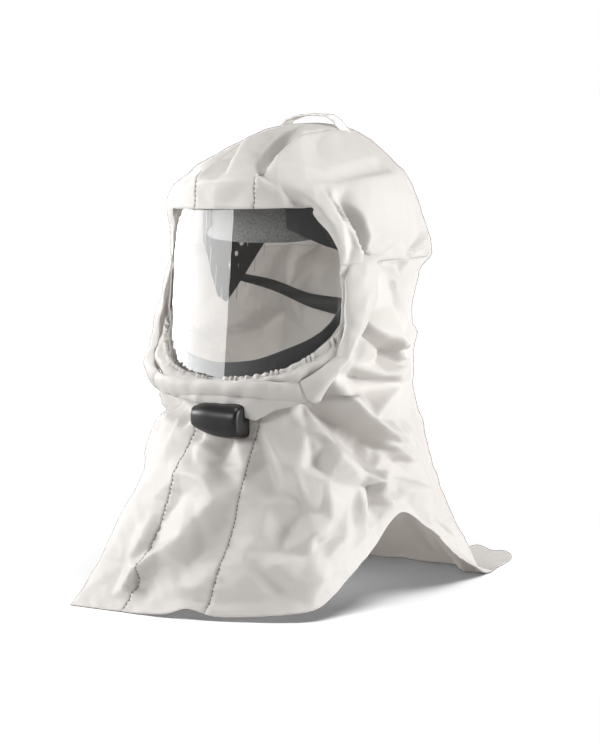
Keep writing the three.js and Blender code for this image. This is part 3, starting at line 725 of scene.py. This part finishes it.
# height, spare share of cloth, hold
LOOSENESS = np.array([
    [0, 0.004, 0.8],
    [40, 0.007, 0.7],
    [230, 0.008, 0.7],
    [366, 0.007, 0.8],
    [400, 0.004, 0.9],
    [430, 0.002, 0.9],
    [508, 0.002, 0.9],
], float)
SEAM_STRIP_DEGREES, SEAM_SPARE, SEAM_HOLD = 2.2, 0.2, 0.9
spare = np.interp(net_height, LOOSENESS[:, 0], LOOSENESS[:, 1])
hold = np.interp(net_height, LOOSENESS[:, 0], LOOSENESS[:, 2])
from_seam = np.minimum(np.abs(net_deg - BIB_SEAM_RIGHT), np.abs(net_deg - BIB_SEAM_LEFT))
on_seam = (from_seam < SEAM_STRIP_DEGREES) & (net_height < NECK_HEIGHT)
spare[on_seam] *= SEAM_SPARE
hold[on_seam] = SEAM_HOLD
WAVES_A_LENGTH, WAVE_RISE = 6, 0.2


def unevenness(points, seed, wave_lengths):
    """Small smooth swells, so that the cloth has somewhere to begin to buckle."""
    chance = np.random.default_rng(seed)
    swell = np.zeros(len(points))
    for wave_length in wave_lengths:
        for k in range(WAVES_A_LENGTH):
            heading = chance.normal(size=3)
            heading *= 2 * np.pi / wave_length / np.linalg.norm(heading)
            swell += WAVE_RISE * np.sin(points @ heading + chance.uniform(0, 2 * np.pi))
    return swell


FLOOR_CLEARANCE, UNEVEN_RISE, UNEVEN_SEED, UNEVEN_MM = 1.0, 0.4, 7, (16, 22, 30)
used = np.unique(np.concatenate([np.asarray(f) for f in net_faces]))
renumber = np.full(len(cloth), -1)
renumber[used] = np.arange(len(used))
faces = [[int(renumber[v]) for v in f] for f in net_faces]
rough = cloth + form_normal * UNEVEN_RISE * unevenness(smooth_form, UNEVEN_SEED, UNEVEN_MM)[:, None]
cloth[used] = settled(rough[used], faces, hold[used], spare[used])
cloth[:, 2] = np.maximum(cloth[:, 2], FLOOR_CLEARANCE)

# Panels
# The cloth is parted along its seams into three cap panels, the bib under the chin and the cape.
BIB_TOP_HEIGHT, ON_SEAM = 242.0, 0.01


def panel_of(face):
    """The panel that a face of the net is cut into."""
    deg, height = net_deg[face], net_height[face]
    if height.min() >= EAR_SEAM - ON_SEAM:
        if from_centre[face].mean() < 0:
            return "crown_panel_centre"
        return "crown_panel_left" if smooth_form[face, 0].mean() > 0 else "crown_panel_right"
    in_bib = deg.min() >= BIB_SEAM_RIGHT - ON_SEAM and deg.max() <= BIB_SEAM_LEFT + ON_SEAM
    return "cape_panel_front" if in_bib and height.max() <= BIB_TOP_HEIGHT else "cape_wrap"


panels = {}
for face in net_faces:
    panels.setdefault(panel_of(face), []).append(face)


def grid_faces(rows, columns, flipped=False):
    """Faces of a grid of places whose index is row * columns + column."""
    faces = [[r * columns + c, (r + 1) * columns + c, (r + 1) * columns + c + 1, r * columns + c + 1]
             for r in range(rows - 1) for c in range(columns - 1)]
    return [face[::-1] for face in faces] if flipped else faces


def mesh_piece(name, points, faces):
    """A smooth mesh object at the origin from places in millimetres."""
    used = np.unique(np.concatenate([np.asarray(f) for f in faces]))
    renumber = {old: new for new, old in enumerate(used)}
    mesh = bpy.data.meshes.new(name)
    mesh.from_pydata(to_frame(points[used]).tolist(), [], [[renumber[v] for v in f] for f in faces])
    mesh.update()
    piece = bpy.data.objects.new(name, mesh)
    bpy.context.scene.collection.objects.link(piece)
    for polygon in mesh.polygons:
        polygon.use_smooth = True
    return piece


def make_sheet(piece, node, material, thickness):
    """Gives a sheet its thickness, inwards from its face, its material and its place among the parts."""
    wall = piece.modifiers.new("wall", "SOLIDIFY")
    wall.thickness = thickness * MM
    wall.offset = -1.0
    piece.data.materials.append(material)
    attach(piece, "root")
    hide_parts(node)


def noise(tree, scale, detail, roughness=0.5):
    """Fine irregular spots, scale of them to a metre of the piece."""
    where = add(tree, "ShaderNodeTexCoord")
    spots = add(tree, "ShaderNodeTexNoise", {
        "Vector": where.outputs["Object"], "Scale": scale, "Detail": detail, "Roughness": roughness})
    return spots.outputs["Fac"]


def shades(tree, share, low, high, low_at=0.0, high_at=1.0):
    """A colour between low and high, by a share that reaches them at low_at and high_at."""
    ramp = add(tree, "ShaderNodeValToRGB", {"Fac": share})
    stops = ramp.color_ramp.elements
    stops[0].color, stops[0].position = srgb(low), low_at
    stops[1].color, stops[1].position = srgb(high), high_at
    return ramp.outputs["Color"]


def bump(tree, height, strength, distance, under=None):
    """Small relief of that many metres, on top of another one."""
    relief = add(tree, "ShaderNodeBump", {"Height": height, "Strength": strength, "Distance": distance})
    if under is not None:
        tree.links.new(under, relief.inputs["Normal"])
    return relief.outputs["Normal"]


# Nylon cloth with a thin polyurethane coating: near white, a soft low gloss, a fine plain weave that only
# just shows and enough light through it to keep the inside grey and not black.
coated_cloth, tree = new_material("coated nylon cloth")
WEAVE_MM = 1.2  # a real thread is about 0.3 mm, drawn coarser so that it shows
CRINKLE_MM, SOIL_SPOTS, CLOTH_GLOW = 14.0, 9.0, 0.42
weave_bump = bump(tree, noise(tree, 1000 / WEAVE_MM, 1.0), 0.25, 0.0002)
cloth_bump = bump(tree, noise(tree, 1000 / CRINKLE_MM, 3.0, 0.55), 0.35, 0.0015, weave_bump)
tint = shades(tree, noise(tree, SOIL_SPOTS, 4.0), "#dad7d3", "#e4e2df", 0.3, 0.7)
coat = add(tree, "ShaderNodeBsdfPrincipled", {
    "Base Color": tint, "Roughness": 0.55, "IOR": 1.5, "Sheen Weight": 0.1, "Normal": cloth_bump})
glow = add(tree, "ShaderNodeBsdfTranslucent", {"Color": srgb("#e2dedb"), "Normal": cloth_bump})
cloth_mix = add(tree, "ShaderNodeMixShader", {0: CLOTH_GLOW, 1: coat.outputs[0], 2: glow.outputs[0]})
show(tree, cloth_mix)

CLOTH_THICKNESS = 0.8
for name, faces in panels.items():
    piece = mesh_piece(name + "_cloth", cloth, faces)
    make_sheet(piece, name, coated_cloth, CLOTH_THICKNESS)

# Visor casing
# A tunnel of the same cloth round the foot of the window, sewn flat at the visor and folded to a free lip
# at its outer edge. It is pieced with a mitre at each lower corner, and the elastic in it leaves it crumpled.
# inner degrees, inner height, outer degrees, outer height
CASING_STATIONS = [
    (66, 378, 80, 376),
    (67, 330, 83, 331),
    (68, 305, 77, 302),
    (63, 273, 67, 269),
    (50, 257, 57, 250),
    (41, 248, 47, 227),
    (25, 248, 28, 217),
    (17, 248, 20, 206),
    (5, 247, 7, 213),
    (-5, 247, -7, 220),
    (-25, 248, -28, 226),
    (-41, 248, -47, 229),
    (-50, 257, -57, 250),
    (-63, 273, -67, 269),
    (-68, 305, -77, 302),
    (-67, 330, -83, 331),
    (-66, 378, -80, 376),
]
MITRES = (5, 11)
# share of the way from the inner to the outer edge, lift from the cloth
CASING_SECTION = np.array([
    (0.0, 1.0), (0.1, 5.0), (0.3, 10.0), (0.6, 13.0), (0.86, 12.5), (1.0, 10.0), (1.01, 7.0), (0.95, 3.5),
    (0.84, 1.5), (0.74, 0.8),
])
CASING_ALONG, CASING_ACROSS, CASING_WIDTH = 230, 18, 25
END_FADE, END_FADE_POWER = 0.9, 0.7
MITRE_DEPTH, MITRE_HALF, LIP_SHARE = 2.6, 0.06, 0.99
CASING_RISE, CASING_SEED, CASING_MM, CASING_CUT = 1.1, 11, (18, 26, 38), (0.06, 0.54)
stations = np.array(CASING_STATIONS, float)
last = len(stations) - 1
station = np.linspace(0, last, CASING_ALONG)
inner_deg, inner_height, outer_deg, outer_height = (
    np.interp(station, np.arange(last + 1), stations[:, k]) for k in range(4))
across = np.hypot(np.diff(CASING_SECTION[:, 0] * CASING_WIDTH), np.diff(CASING_SECTION[:, 1]))
run = np.concatenate([[0], np.cumsum(across)])
along_section = np.linspace(0, run[-1], CASING_ACROSS)
share = np.interp(along_section, run, CASING_SECTION[:, 0])
lift = np.interp(along_section, run, CASING_SECTION[:, 1])
end_fade = np.clip(np.minimum(station, last - station) / END_FADE, 0.0, 1) ** END_FADE_POWER
casing_deg = inner_deg[:, None] + (outer_deg - inner_deg)[:, None] * share
casing_height = inner_height[:, None] + (outer_height - inner_height)[:, None] * share
casing_lift = lift * end_fade[:, None]
for mitre in MITRES:
    dip = np.exp(-((station - mitre) / MITRE_HALF) ** 2)
    casing_lift = casing_lift - MITRE_DEPTH * dip[:, None] * (share < LIP_SHARE)
casing_normal = form_normals(casing_deg, casing_height)
casing = (form_points(casing_deg, casing_height) + casing_normal * casing_lift[..., None]).reshape(-1, 3)
casing += casing_normal.reshape(-1, 3) * CASING_RISE * unevenness(casing, CASING_SEED, CASING_MM)[:, None]
piece = mesh_piece("visor_casing_cloth", casing, grid_faces(CASING_ALONG, CASING_ACROSS, flipped=True))
make_sheet(piece, "visor_casing", coated_cloth, CLOTH_THICKNESS)

# Visor
# A clear polycarbonate sheet bent to an arc, polished on both faces, so it shows what is behind it and
# mirrors the white card at the left.
clear_sheet, tree = new_material("clear polycarbonate sheet")
glass = add(tree, "ShaderNodeBsdfPrincipled",
            {"Base Color": srgb("#fbfcfc"), "Roughness": 0.02, "IOR": 1.5, "Transmission Weight": 1.0})
open_way = add(tree, "ShaderNodeBsdfTransparent", {"Color": srgb("#f4f6f6")})
ray = add(tree, "ShaderNodeLightPath")
sheet_mix = add(tree, "ShaderNodeMixShader",
                {0: ray.outputs["Is Shadow Ray"], 1: glass.outputs[0], 2: open_way.outputs[0]})
show(tree, sheet_mix)


def dress(node, material):
    """Puts a material on a part that keeps its own solid."""
    part = bpy.data.objects[node]
    part.data.materials.clear()
    part.data.materials.append(material)


dress("visor", clear_sheet)

# Gathered edges
# Under the casing the cloth's edge is drawn in by elastic and lies on the visor as a small uneven frill.
# degrees, foot of the visor
VISOR_FOOT = np.array([
    [0, 245], [14, 247], [33, 256], [44, 269], [48, 275], [52, 282], [57, 292], [62, 308],
], float)
FRILL_FROM, FRILL_TO, FRILL_WAVES = 4.0, 62.5, 18
FRILL_ALONG, FRILL_ACROSS = 300, 10
FRILL_SWAY, FRILL_LEAST, FRILL_MOST = 2.4, 0.1, 1.9
FRILL_EDGE, FRILL_EDGE_WAVE, FRILL_WIDTH, FRILL_WIDENS = 4.2, 1.1, 10.0, 13.0
FRILL_OFF, FRILL_WAVE, FRILL_CALM, FRILL_SLOPE, FRILL_CLEAR, FRILL_SKEW = 4.4, 1.7, 0.6, 3.5, 0.6, 3.0
FRILL_THICKNESS, FRILL_CUT = 0.4, (0.03, 0.20)
for node, side, seed in (("visor_ruffle_left", 1, 5), ("visor_ruffle_right", -1, 6)):
    chance = np.random.default_rng(seed)
    t = np.linspace(0, 1, FRILL_ALONG)
    knots = np.arange(FRILL_WAVES + 2)
    sway = np.interp(t * FRILL_WAVES, knots, chance.normal(0, FRILL_SWAY, len(knots)))
    size = np.interp(t * FRILL_WAVES, knots, chance.uniform(FRILL_LEAST, FRILL_MOST, len(knots)))
    wave = np.sin(2 * np.pi * FRILL_WAVES * t + sway) * size
    u = np.linspace(0, 1, FRILL_ACROSS)
    deg = FRILL_FROM + (FRILL_TO - FRILL_FROM) * t
    edge = curve(VISOR_FOOT, 1, deg) + FRILL_EDGE + FRILL_EDGE_WAVE * wave
    width = FRILL_WIDTH + FRILL_WIDENS * smoothstep(t, 0.1, 0.5)
    height = edge[:, None] - width[:, None] * u
    off = FRILL_OFF + FRILL_WAVE * wave[:, None] * (1 - FRILL_CALM * u) + FRILL_SLOPE * u
    frill_deg = side * (deg[:, None] + FRILL_SKEW * u * t[:, None])
    frill = visor_points(frill_deg, height, np.maximum(off, FRILL_CLEAR)).reshape(-1, 3)
    piece = mesh_piece(node + "_cloth", frill, grid_faces(FRILL_ALONG, FRILL_ACROSS, flipped=side < 0))
    make_sheet(piece, node, coated_cloth, FRILL_THICKNESS)

# Visor frame and head harness
# The frame that the visor's foot sits in, the two side plates and the clips at the brow are moulded
# polypropylene: satin black, with a fine grain that breaks up the shine.
black_plastic, tree = new_material("moulded black polypropylene")
GRAIN_MM = 1.5
grain = noise(tree, 1000 / GRAIN_MM, 2.0)
shine = add(tree, "ShaderNodeMapRange", {"Value": grain, "To Min": 0.38, "To Max": 0.55})
moulded = add(tree, "ShaderNodeBsdfPrincipled", {
    "Base Color": srgb("#1c1b1a"), "Roughness": shine.outputs[0], "IOR": 1.49,
    "Normal": bump(tree, grain, 0.2, 0.0003)})
show(tree, moulded)
for node in ("visor_frame", "harness_plate_left", "harness_plate_right", "brow_clip_left", "brow_clip_right"):
    dress(node, black_plastic)

# Forehead pad
# A strip of foam in grey towelling, folded round the front of the harness and stitched along its lower edge.
PAD_RADIUS, PAD_MIDDLE_Y, PAD_THICKNESS = 93.0, -10.0, 5.0
# degrees, low, high
PAD_EDGES = np.array([[-60, 394, 422], [-30, 388, 426], [0, 387, 427], [30, 388, 426], [60, 394, 422]], float)
PAD_ALONG, PAD_ROUND, PAD_SQUARE_HIGH, PAD_SQUARE_DEEP = 150, 28, 4.5, 2.6
HEM_PINCH, HEM_PINCH_AT, HEM_PINCH_HALF = 0.45, 4.0, 1.6


def tube_faces(rings, sides, first=0):
    """Faces of a closed tube, ring by ring, whose first place has that index."""
    faces = []
    for r in range(rings - 1):
        a = first + r * sides
        for c in range(sides):
            n = (c + 1) % sides
            faces.append([a + c, a + sides + c, a + sides + n, a + n])
    last = first + (rings - 1) * sides
    return faces + [[first + c for c in range(sides)], [last + c for c in reversed(range(sides))]]


deg = np.linspace(PAD_EDGES[0, 0], PAD_EDGES[-1, 0], PAD_ALONG)[:, None]
turn = np.linspace(0, 2 * np.pi, PAD_ROUND, endpoint=False)
low, high = curve(PAD_EDGES, 1, deg[:, 0])[:, None], curve(PAD_EDGES, 2, deg[:, 0])[:, None]
height = (low + high) / 2 + (high - low) / 2 * rounded(np.sin(turn), PAD_SQUARE_HIGH)
hem_pinch = 1 - HEM_PINCH * np.exp(-((height - low - HEM_PINCH_AT) / HEM_PINCH_HALF) ** 2)
reach = PAD_RADIUS + PAD_THICKNESS / 2 * rounded(np.cos(turn), PAD_SQUARE_DEEP) * hem_pinch
angle = np.radians(deg)
pad = np.stack([reach * np.sin(angle), PAD_MIDDLE_Y - reach * np.cos(angle), height], -1)
piece = mesh_piece("sweatband_pad", pad.reshape(-1, 3), tube_faces(PAD_ALONG, PAD_ROUND))
# Cotton loops: grey and with no shine. The colour is painted lighter at each loop's top and darker towards
# its edges, as painted shade between the loops.
towelling, tree = new_material("grey cotton towelling")
where = add(tree, "ShaderNodeTexCoord")
LOOP_MM = 2.0  # a real loop is about 1 mm, drawn coarser so that it shows
loops = add(tree, "ShaderNodeTexVoronoi", {"Vector": where.outputs["Object"], "Scale": 1000 / LOOP_MM})
pile = loops.outputs["Distance"]
# The lighter loop tops and darker gaps in this colour are painted light and shade.
knit = add(tree, "ShaderNodeBsdfPrincipled", {
    "Base Color": shades(tree, pile, "#6e6c6a", "#454342"), "Roughness": 0.95, "Sheen Weight": 0.3,
    "Normal": bump(tree, pile, 0.8, 0.0008)})
show(tree, knit)
piece.data.materials.append(towelling)
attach(piece, "root")
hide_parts("sweatband")

# Nape strap
# Woven elastic from one side plate round the back of the head to the other, wider behind.
STRAP_RADIUS, STRAP_THICKNESS, STRAP_CUT = 100.0, 1.6, (0.016, 0.29)
# degrees, low, high
STRAP_EDGES = np.array([
    [106, 335, 343], [130, 322, 334], [158, 301, 317], [180, 294, 314], [202, 301, 317], [230, 322, 334],
    [254, 335, 343],
], float)
STRAP_ALONG, STRAP_ACROSS = 140, 7
deg = np.linspace(STRAP_EDGES[0, 0], STRAP_EDGES[-1, 0], STRAP_ALONG)
u = np.linspace(0, 1, STRAP_ACROSS)
low, high = curve(STRAP_EDGES, 1, deg)[:, None], curve(STRAP_EDGES, 2, deg)[:, None]
angle = np.radians(deg)[:, None] + 0 * u
strap = np.stack([STRAP_RADIUS * np.sin(angle), PAD_MIDDLE_Y - STRAP_RADIUS * np.cos(angle),
                  low + (high - low) * u], -1).reshape(-1, 3)
piece = mesh_piece("nape_strap_elastic", strap, grid_faces(STRAP_ALONG, STRAP_ACROSS, flipped=True))
WAVE_RADIANS = 20  # radians of its wave to a metre, in a wave texture of scale 1


def ribs(tree, radian_mm, direction):
    """Soft ribs across a piece; each is 2 pi times radian_mm wide."""
    where = add(tree, "ShaderNodeTexCoord")
    scale = 1000 / radian_mm / WAVE_RADIANS
    waves = add(tree, "ShaderNodeTexWave", {"Vector": where.outputs["Object"], "Scale": scale},
                bands_direction=direction)
    return waves.outputs["Fac"]


# Dark elastic with broad ribs and no shine. Its colour is painted darker in the grooves, as painted shade,
# and lighter on the rib crests.
elastic, tree = new_material("dark woven elastic")
RIB_RADIAN_MM = 2.4
rib = ribs(tree, RIB_RADIAN_MM, "Z")
# The ribs' colour follows their relief: painted shade in the grooves and painted light on the crests.
band = add(tree, "ShaderNodeBsdfPrincipled", {
    "Base Color": shades(tree, rib, "#2c2b2a", "#3e3c3b"), "Roughness": 0.8,
    "Normal": bump(tree, rib, 0.5, 0.0005)})
show(tree, band)
make_sheet(piece, "nape_strap", elastic, STRAP_THICKNESS)

# Hanging loop
# A length of white woven tape sewn down at both ends across the top of the cap.
LOOP_Y, LOOP_WIDTH, LOOP_THICKNESS, LOOP_DROOP, LOOP_CUT = 25.0, 16.0, 1.2, 1.2, (0.016, 0.105)
# x, height
LOOP_LINE = np.array([
    [-44, 499], [-37, 506], [-31, 512], [-16, 517], [0, 518.5], [22, 518], [32, 512], [38, 505], [44, 499],
], float)
LOOP_ALONG, LOOP_ACROSS = 60, 6
x = np.linspace(LOOP_LINE[0, 0], LOOP_LINE[-1, 0], LOOP_ALONG)[:, None]
u = np.linspace(-0.5, 0.5, LOOP_ACROSS)
z = np.interp(x, LOOP_LINE[:, 0], LOOP_LINE[:, 1])
tape_points = np.stack([x + 0 * u, LOOP_Y + LOOP_WIDTH * u + 0 * x, z - LOOP_DROOP * np.abs(u)], -1)
piece = mesh_piece("hanging_loop_tape", tape_points.reshape(-1, 3), grid_faces(LOOP_ALONG, LOOP_ACROSS))
# Tape of the cloth's own white, dull, with soft cords across it. Its colour is painted darker in the grooves,
# as painted shade, and lighter on the cord crests.
tape, tree = new_material("white woven tape")
CORD_RADIAN_MM = 1.6
cord = ribs(tree, CORD_RADIAN_MM, "X")
# The cords' colour follows their relief: painted shade in the grooves and painted light on the crests.
weave_tape = add(tree, "ShaderNodeBsdfPrincipled", {
    "Base Color": shades(tree, cord, "#cfccc8", "#e2dfdb"), "Roughness": 0.85,
    "Normal": bump(tree, cord, 0.4, 0.0004)})
show(tree, weave_tape)
make_sheet(piece, "hanging_loop", tape, LOOP_THICKNESS)

# Chin grip
# A solid block of moulded rubber under the chin, round at one end and cut square at the other.
# The rubber is nearly black, with a soft broad shine broken by fine specks.
grip_rubber, tree = new_material("moulded black rubber")
SPECKS = 700.0
specks = noise(tree, SPECKS, 2.0)
rub = add(tree, "ShaderNodeMapRange", {"Value": specks, "To Min": 0.3, "To Max": 0.42})
rubber = add(tree, "ShaderNodeBsdfPrincipled", {
    "Base Color": srgb("#121110"), "Roughness": rub.outputs[0], "IOR": 1.4,
    "Normal": bump(tree, specks, 0.15, 0.0003)})
show(tree, rubber)

# low and high x, y and z of the block
GRIP_LOW, GRIP_HIGH = (-24.0, -175.0, 186.0), (40.0, -145.0, 223.0)
# what lies before the front y, over the top and under the foot is moved, in y and z
GRIP_FRONT, GRIP_TOP, GRIP_FOOT = -166.0, 216.0, 194.0
GRIP_TOP_MOVE, GRIP_FOOT_MOVE = (8.0, -1.0), (5.0, 2.0)
grip_middle = [(low + high) / 2 for low, high in zip(GRIP_LOW, GRIP_HIGH)]
grip_size = [high - low for low, high in zip(GRIP_LOW, GRIP_HIGH)]


def select_points(mesh, wanted):
    """Selects the points of a mesh in edit mode whose place, in millimetres, is wanted."""
    bpy.ops.mesh.select_all(action="DESELECT")
    bpy.ops.object.mode_set(mode="OBJECT")
    for point in mesh.vertices:
        place = (np.array(point.co) - middle_of_head) / MM
        point.select = bool(wanted(*place))
    bpy.ops.object.mode_set(mode="EDIT")


bpy.ops.object.select_all(action="DESELECT")
bpy.ops.mesh.primitive_cube_add(size=1.0, location=(0.0, 0.0, 0.0))
piece = bpy.context.object
piece.name = "chin_grip_rubber"
bpy.ops.object.mode_set(mode="EDIT")
bpy.ops.mesh.select_mode(type="VERT")
bpy.ops.mesh.subdivide(number_cuts=3)
bpy.ops.transform.resize(value=[size * MM for size in grip_size])
bpy.ops.transform.translate(value=to_frame(grip_middle))
# the round end is drawn in from all sides, in two steps, and sits higher
for x, narrow, raised in ((-20.0, 0.6, 2.0), (-4.0, 0.9, 2.0)):
    select_points(piece.data, lambda px, py, pz: px < x)
    bpy.ops.transform.resize(value=(1.0, narrow, narrow), center_override=to_frame(grip_middle))
    bpy.ops.transform.translate(value=(0.0, 0.0, raised * MM))
# the top slopes down to a ridge along the front, and the lower front edge is taken off
select_points(piece.data, lambda px, py, pz: pz > GRIP_TOP and py < GRIP_FRONT)
bpy.ops.transform.translate(value=(0.0, *(move * MM for move in GRIP_TOP_MOVE)))
select_points(piece.data, lambda px, py, pz: pz < GRIP_FOOT and py < GRIP_FRONT)
bpy.ops.transform.translate(value=(0.0, *(move * MM for move in GRIP_FOOT_MOVE)))
bpy.ops.object.mode_set(mode="OBJECT")
soft = piece.modifiers.new("soft", "SUBSURF")
soft.levels = soft.render_levels = 3
bpy.ops.object.modifier_apply(modifier="soft")
bpy.ops.object.shade_smooth()
piece.data.materials.append(grip_rubber)
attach(piece, "root")
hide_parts("chin_grip")

# Seam stitching
# Grey polyester thread, one row along each front seam of the cap and along both seams of the bib.
# The thread is a shade darker than the cloth, so each stitch shows as a small dash.
thread, tree = new_material("grey polyester thread")
TWIST_RADIAN_MM = 0.8
twist = ribs(tree, TWIST_RADIAN_MM, "DIAGONAL")
strand = add(tree, "ShaderNodeBsdfPrincipled", {
    "Base Color": shades(tree, twist, "#5e5a57", "#7b7673"), "Roughness": 0.7})
show(tree, strand)
STITCH_LENGTH, STITCH_GAP, STITCH_START, STITCH_RADIUS, STITCH_SIDES = 3.2, 1.8, 1.0, 0.4, 6
# share of the way along a stitch, share of its radius, rise off the cloth
STITCH_RINGS = np.array([
    [0.0, 0.35, -0.3], [0.15, 0.85, 0.2], [0.5, 1.0, 0.4], [0.85, 0.85, 0.2], [1.0, 0.35, -0.3],
])
CAP_STITCH_TOP, CAP_STITCH_FOOT, BIB_STITCH_TOP = 455, EAR_SEAM + 40, 236

net_normal = np.zeros_like(cloth)
for face in net_faces:
    a, b, c = cloth[face[0]], cloth[face[1]], cloth[face[2]]
    net_normal[face] += np.cross(b - a, c - a)
net_normal /= np.maximum(np.linalg.norm(net_normal, axis=1, keepdims=True), 1e-9)


def stitch_row(line, normals):
    """Short threads along a line of places, a little sunk at their ends."""
    run = np.concatenate([[0], np.cumsum(np.linalg.norm(np.diff(line, axis=0), axis=1))])
    points, faces = [], []
    for start in np.arange(STITCH_START, run[-1] - STITCH_LENGTH, STITCH_LENGTH + STITCH_GAP):
        ring_at = start + STITCH_LENGTH * STITCH_RINGS[:, 0]
        middle = np.stack([np.interp(ring_at, run, line[:, k]) for k in range(3)], -1)
        out = np.stack([np.interp(ring_at, run, normals[:, k]) for k in range(3)], -1)
        ahead = np.gradient(middle, axis=0)
        side = np.cross(ahead, out)
        side /= np.maximum(np.linalg.norm(side, axis=1, keepdims=True), 1e-9)
        faces += tube_faces(len(STITCH_RINGS), STITCH_SIDES, len(points))
        for k, (_, swell, raise_by) in enumerate(STITCH_RINGS):
            for turn in np.arange(STITCH_SIDES) * 2 * np.pi / STITCH_SIDES:
                round_it = side[k] * np.cos(turn) + out[k] * np.sin(turn)
                points.append(middle[k] + out[k] * raise_by + STITCH_RADIUS * swell * round_it)
    return np.array(points), faces


on_cap_seam = (from_centre == 0) & (np.abs(net_deg) < 90) & (net_height < CAP_STITCH_TOP)
# name, points of the net that the row follows
STITCH_ROWS = {
    "cap_stitches_left": on_cap_seam & (smooth_form[:, 0] > 0),
    "cap_stitches_right": on_cap_seam & (smooth_form[:, 0] < 0),
    "bib_stitches_left": (np.abs(net_deg - BIB_SEAM_LEFT) < ON_SEAM) & (net_height < BIB_STITCH_TOP),
    "bib_stitches_right": (np.abs(net_deg - BIB_SEAM_RIGHT) < ON_SEAM) & (net_height < BIB_STITCH_TOP),
}
for name, follows in STITCH_ROWS.items():
    row = np.where(follows & (net_height > 1))[0]
    row = row[np.argsort(-net_height[row])]
    if name.startswith("cap"):
        row = row[net_height[row] > CAP_STITCH_FOOT]
    points, faces = stitch_row(cloth[row], net_normal[row])
    piece = mesh_piece(name, points, faces)
    piece.data.materials.append(thread)
    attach(piece, "root")
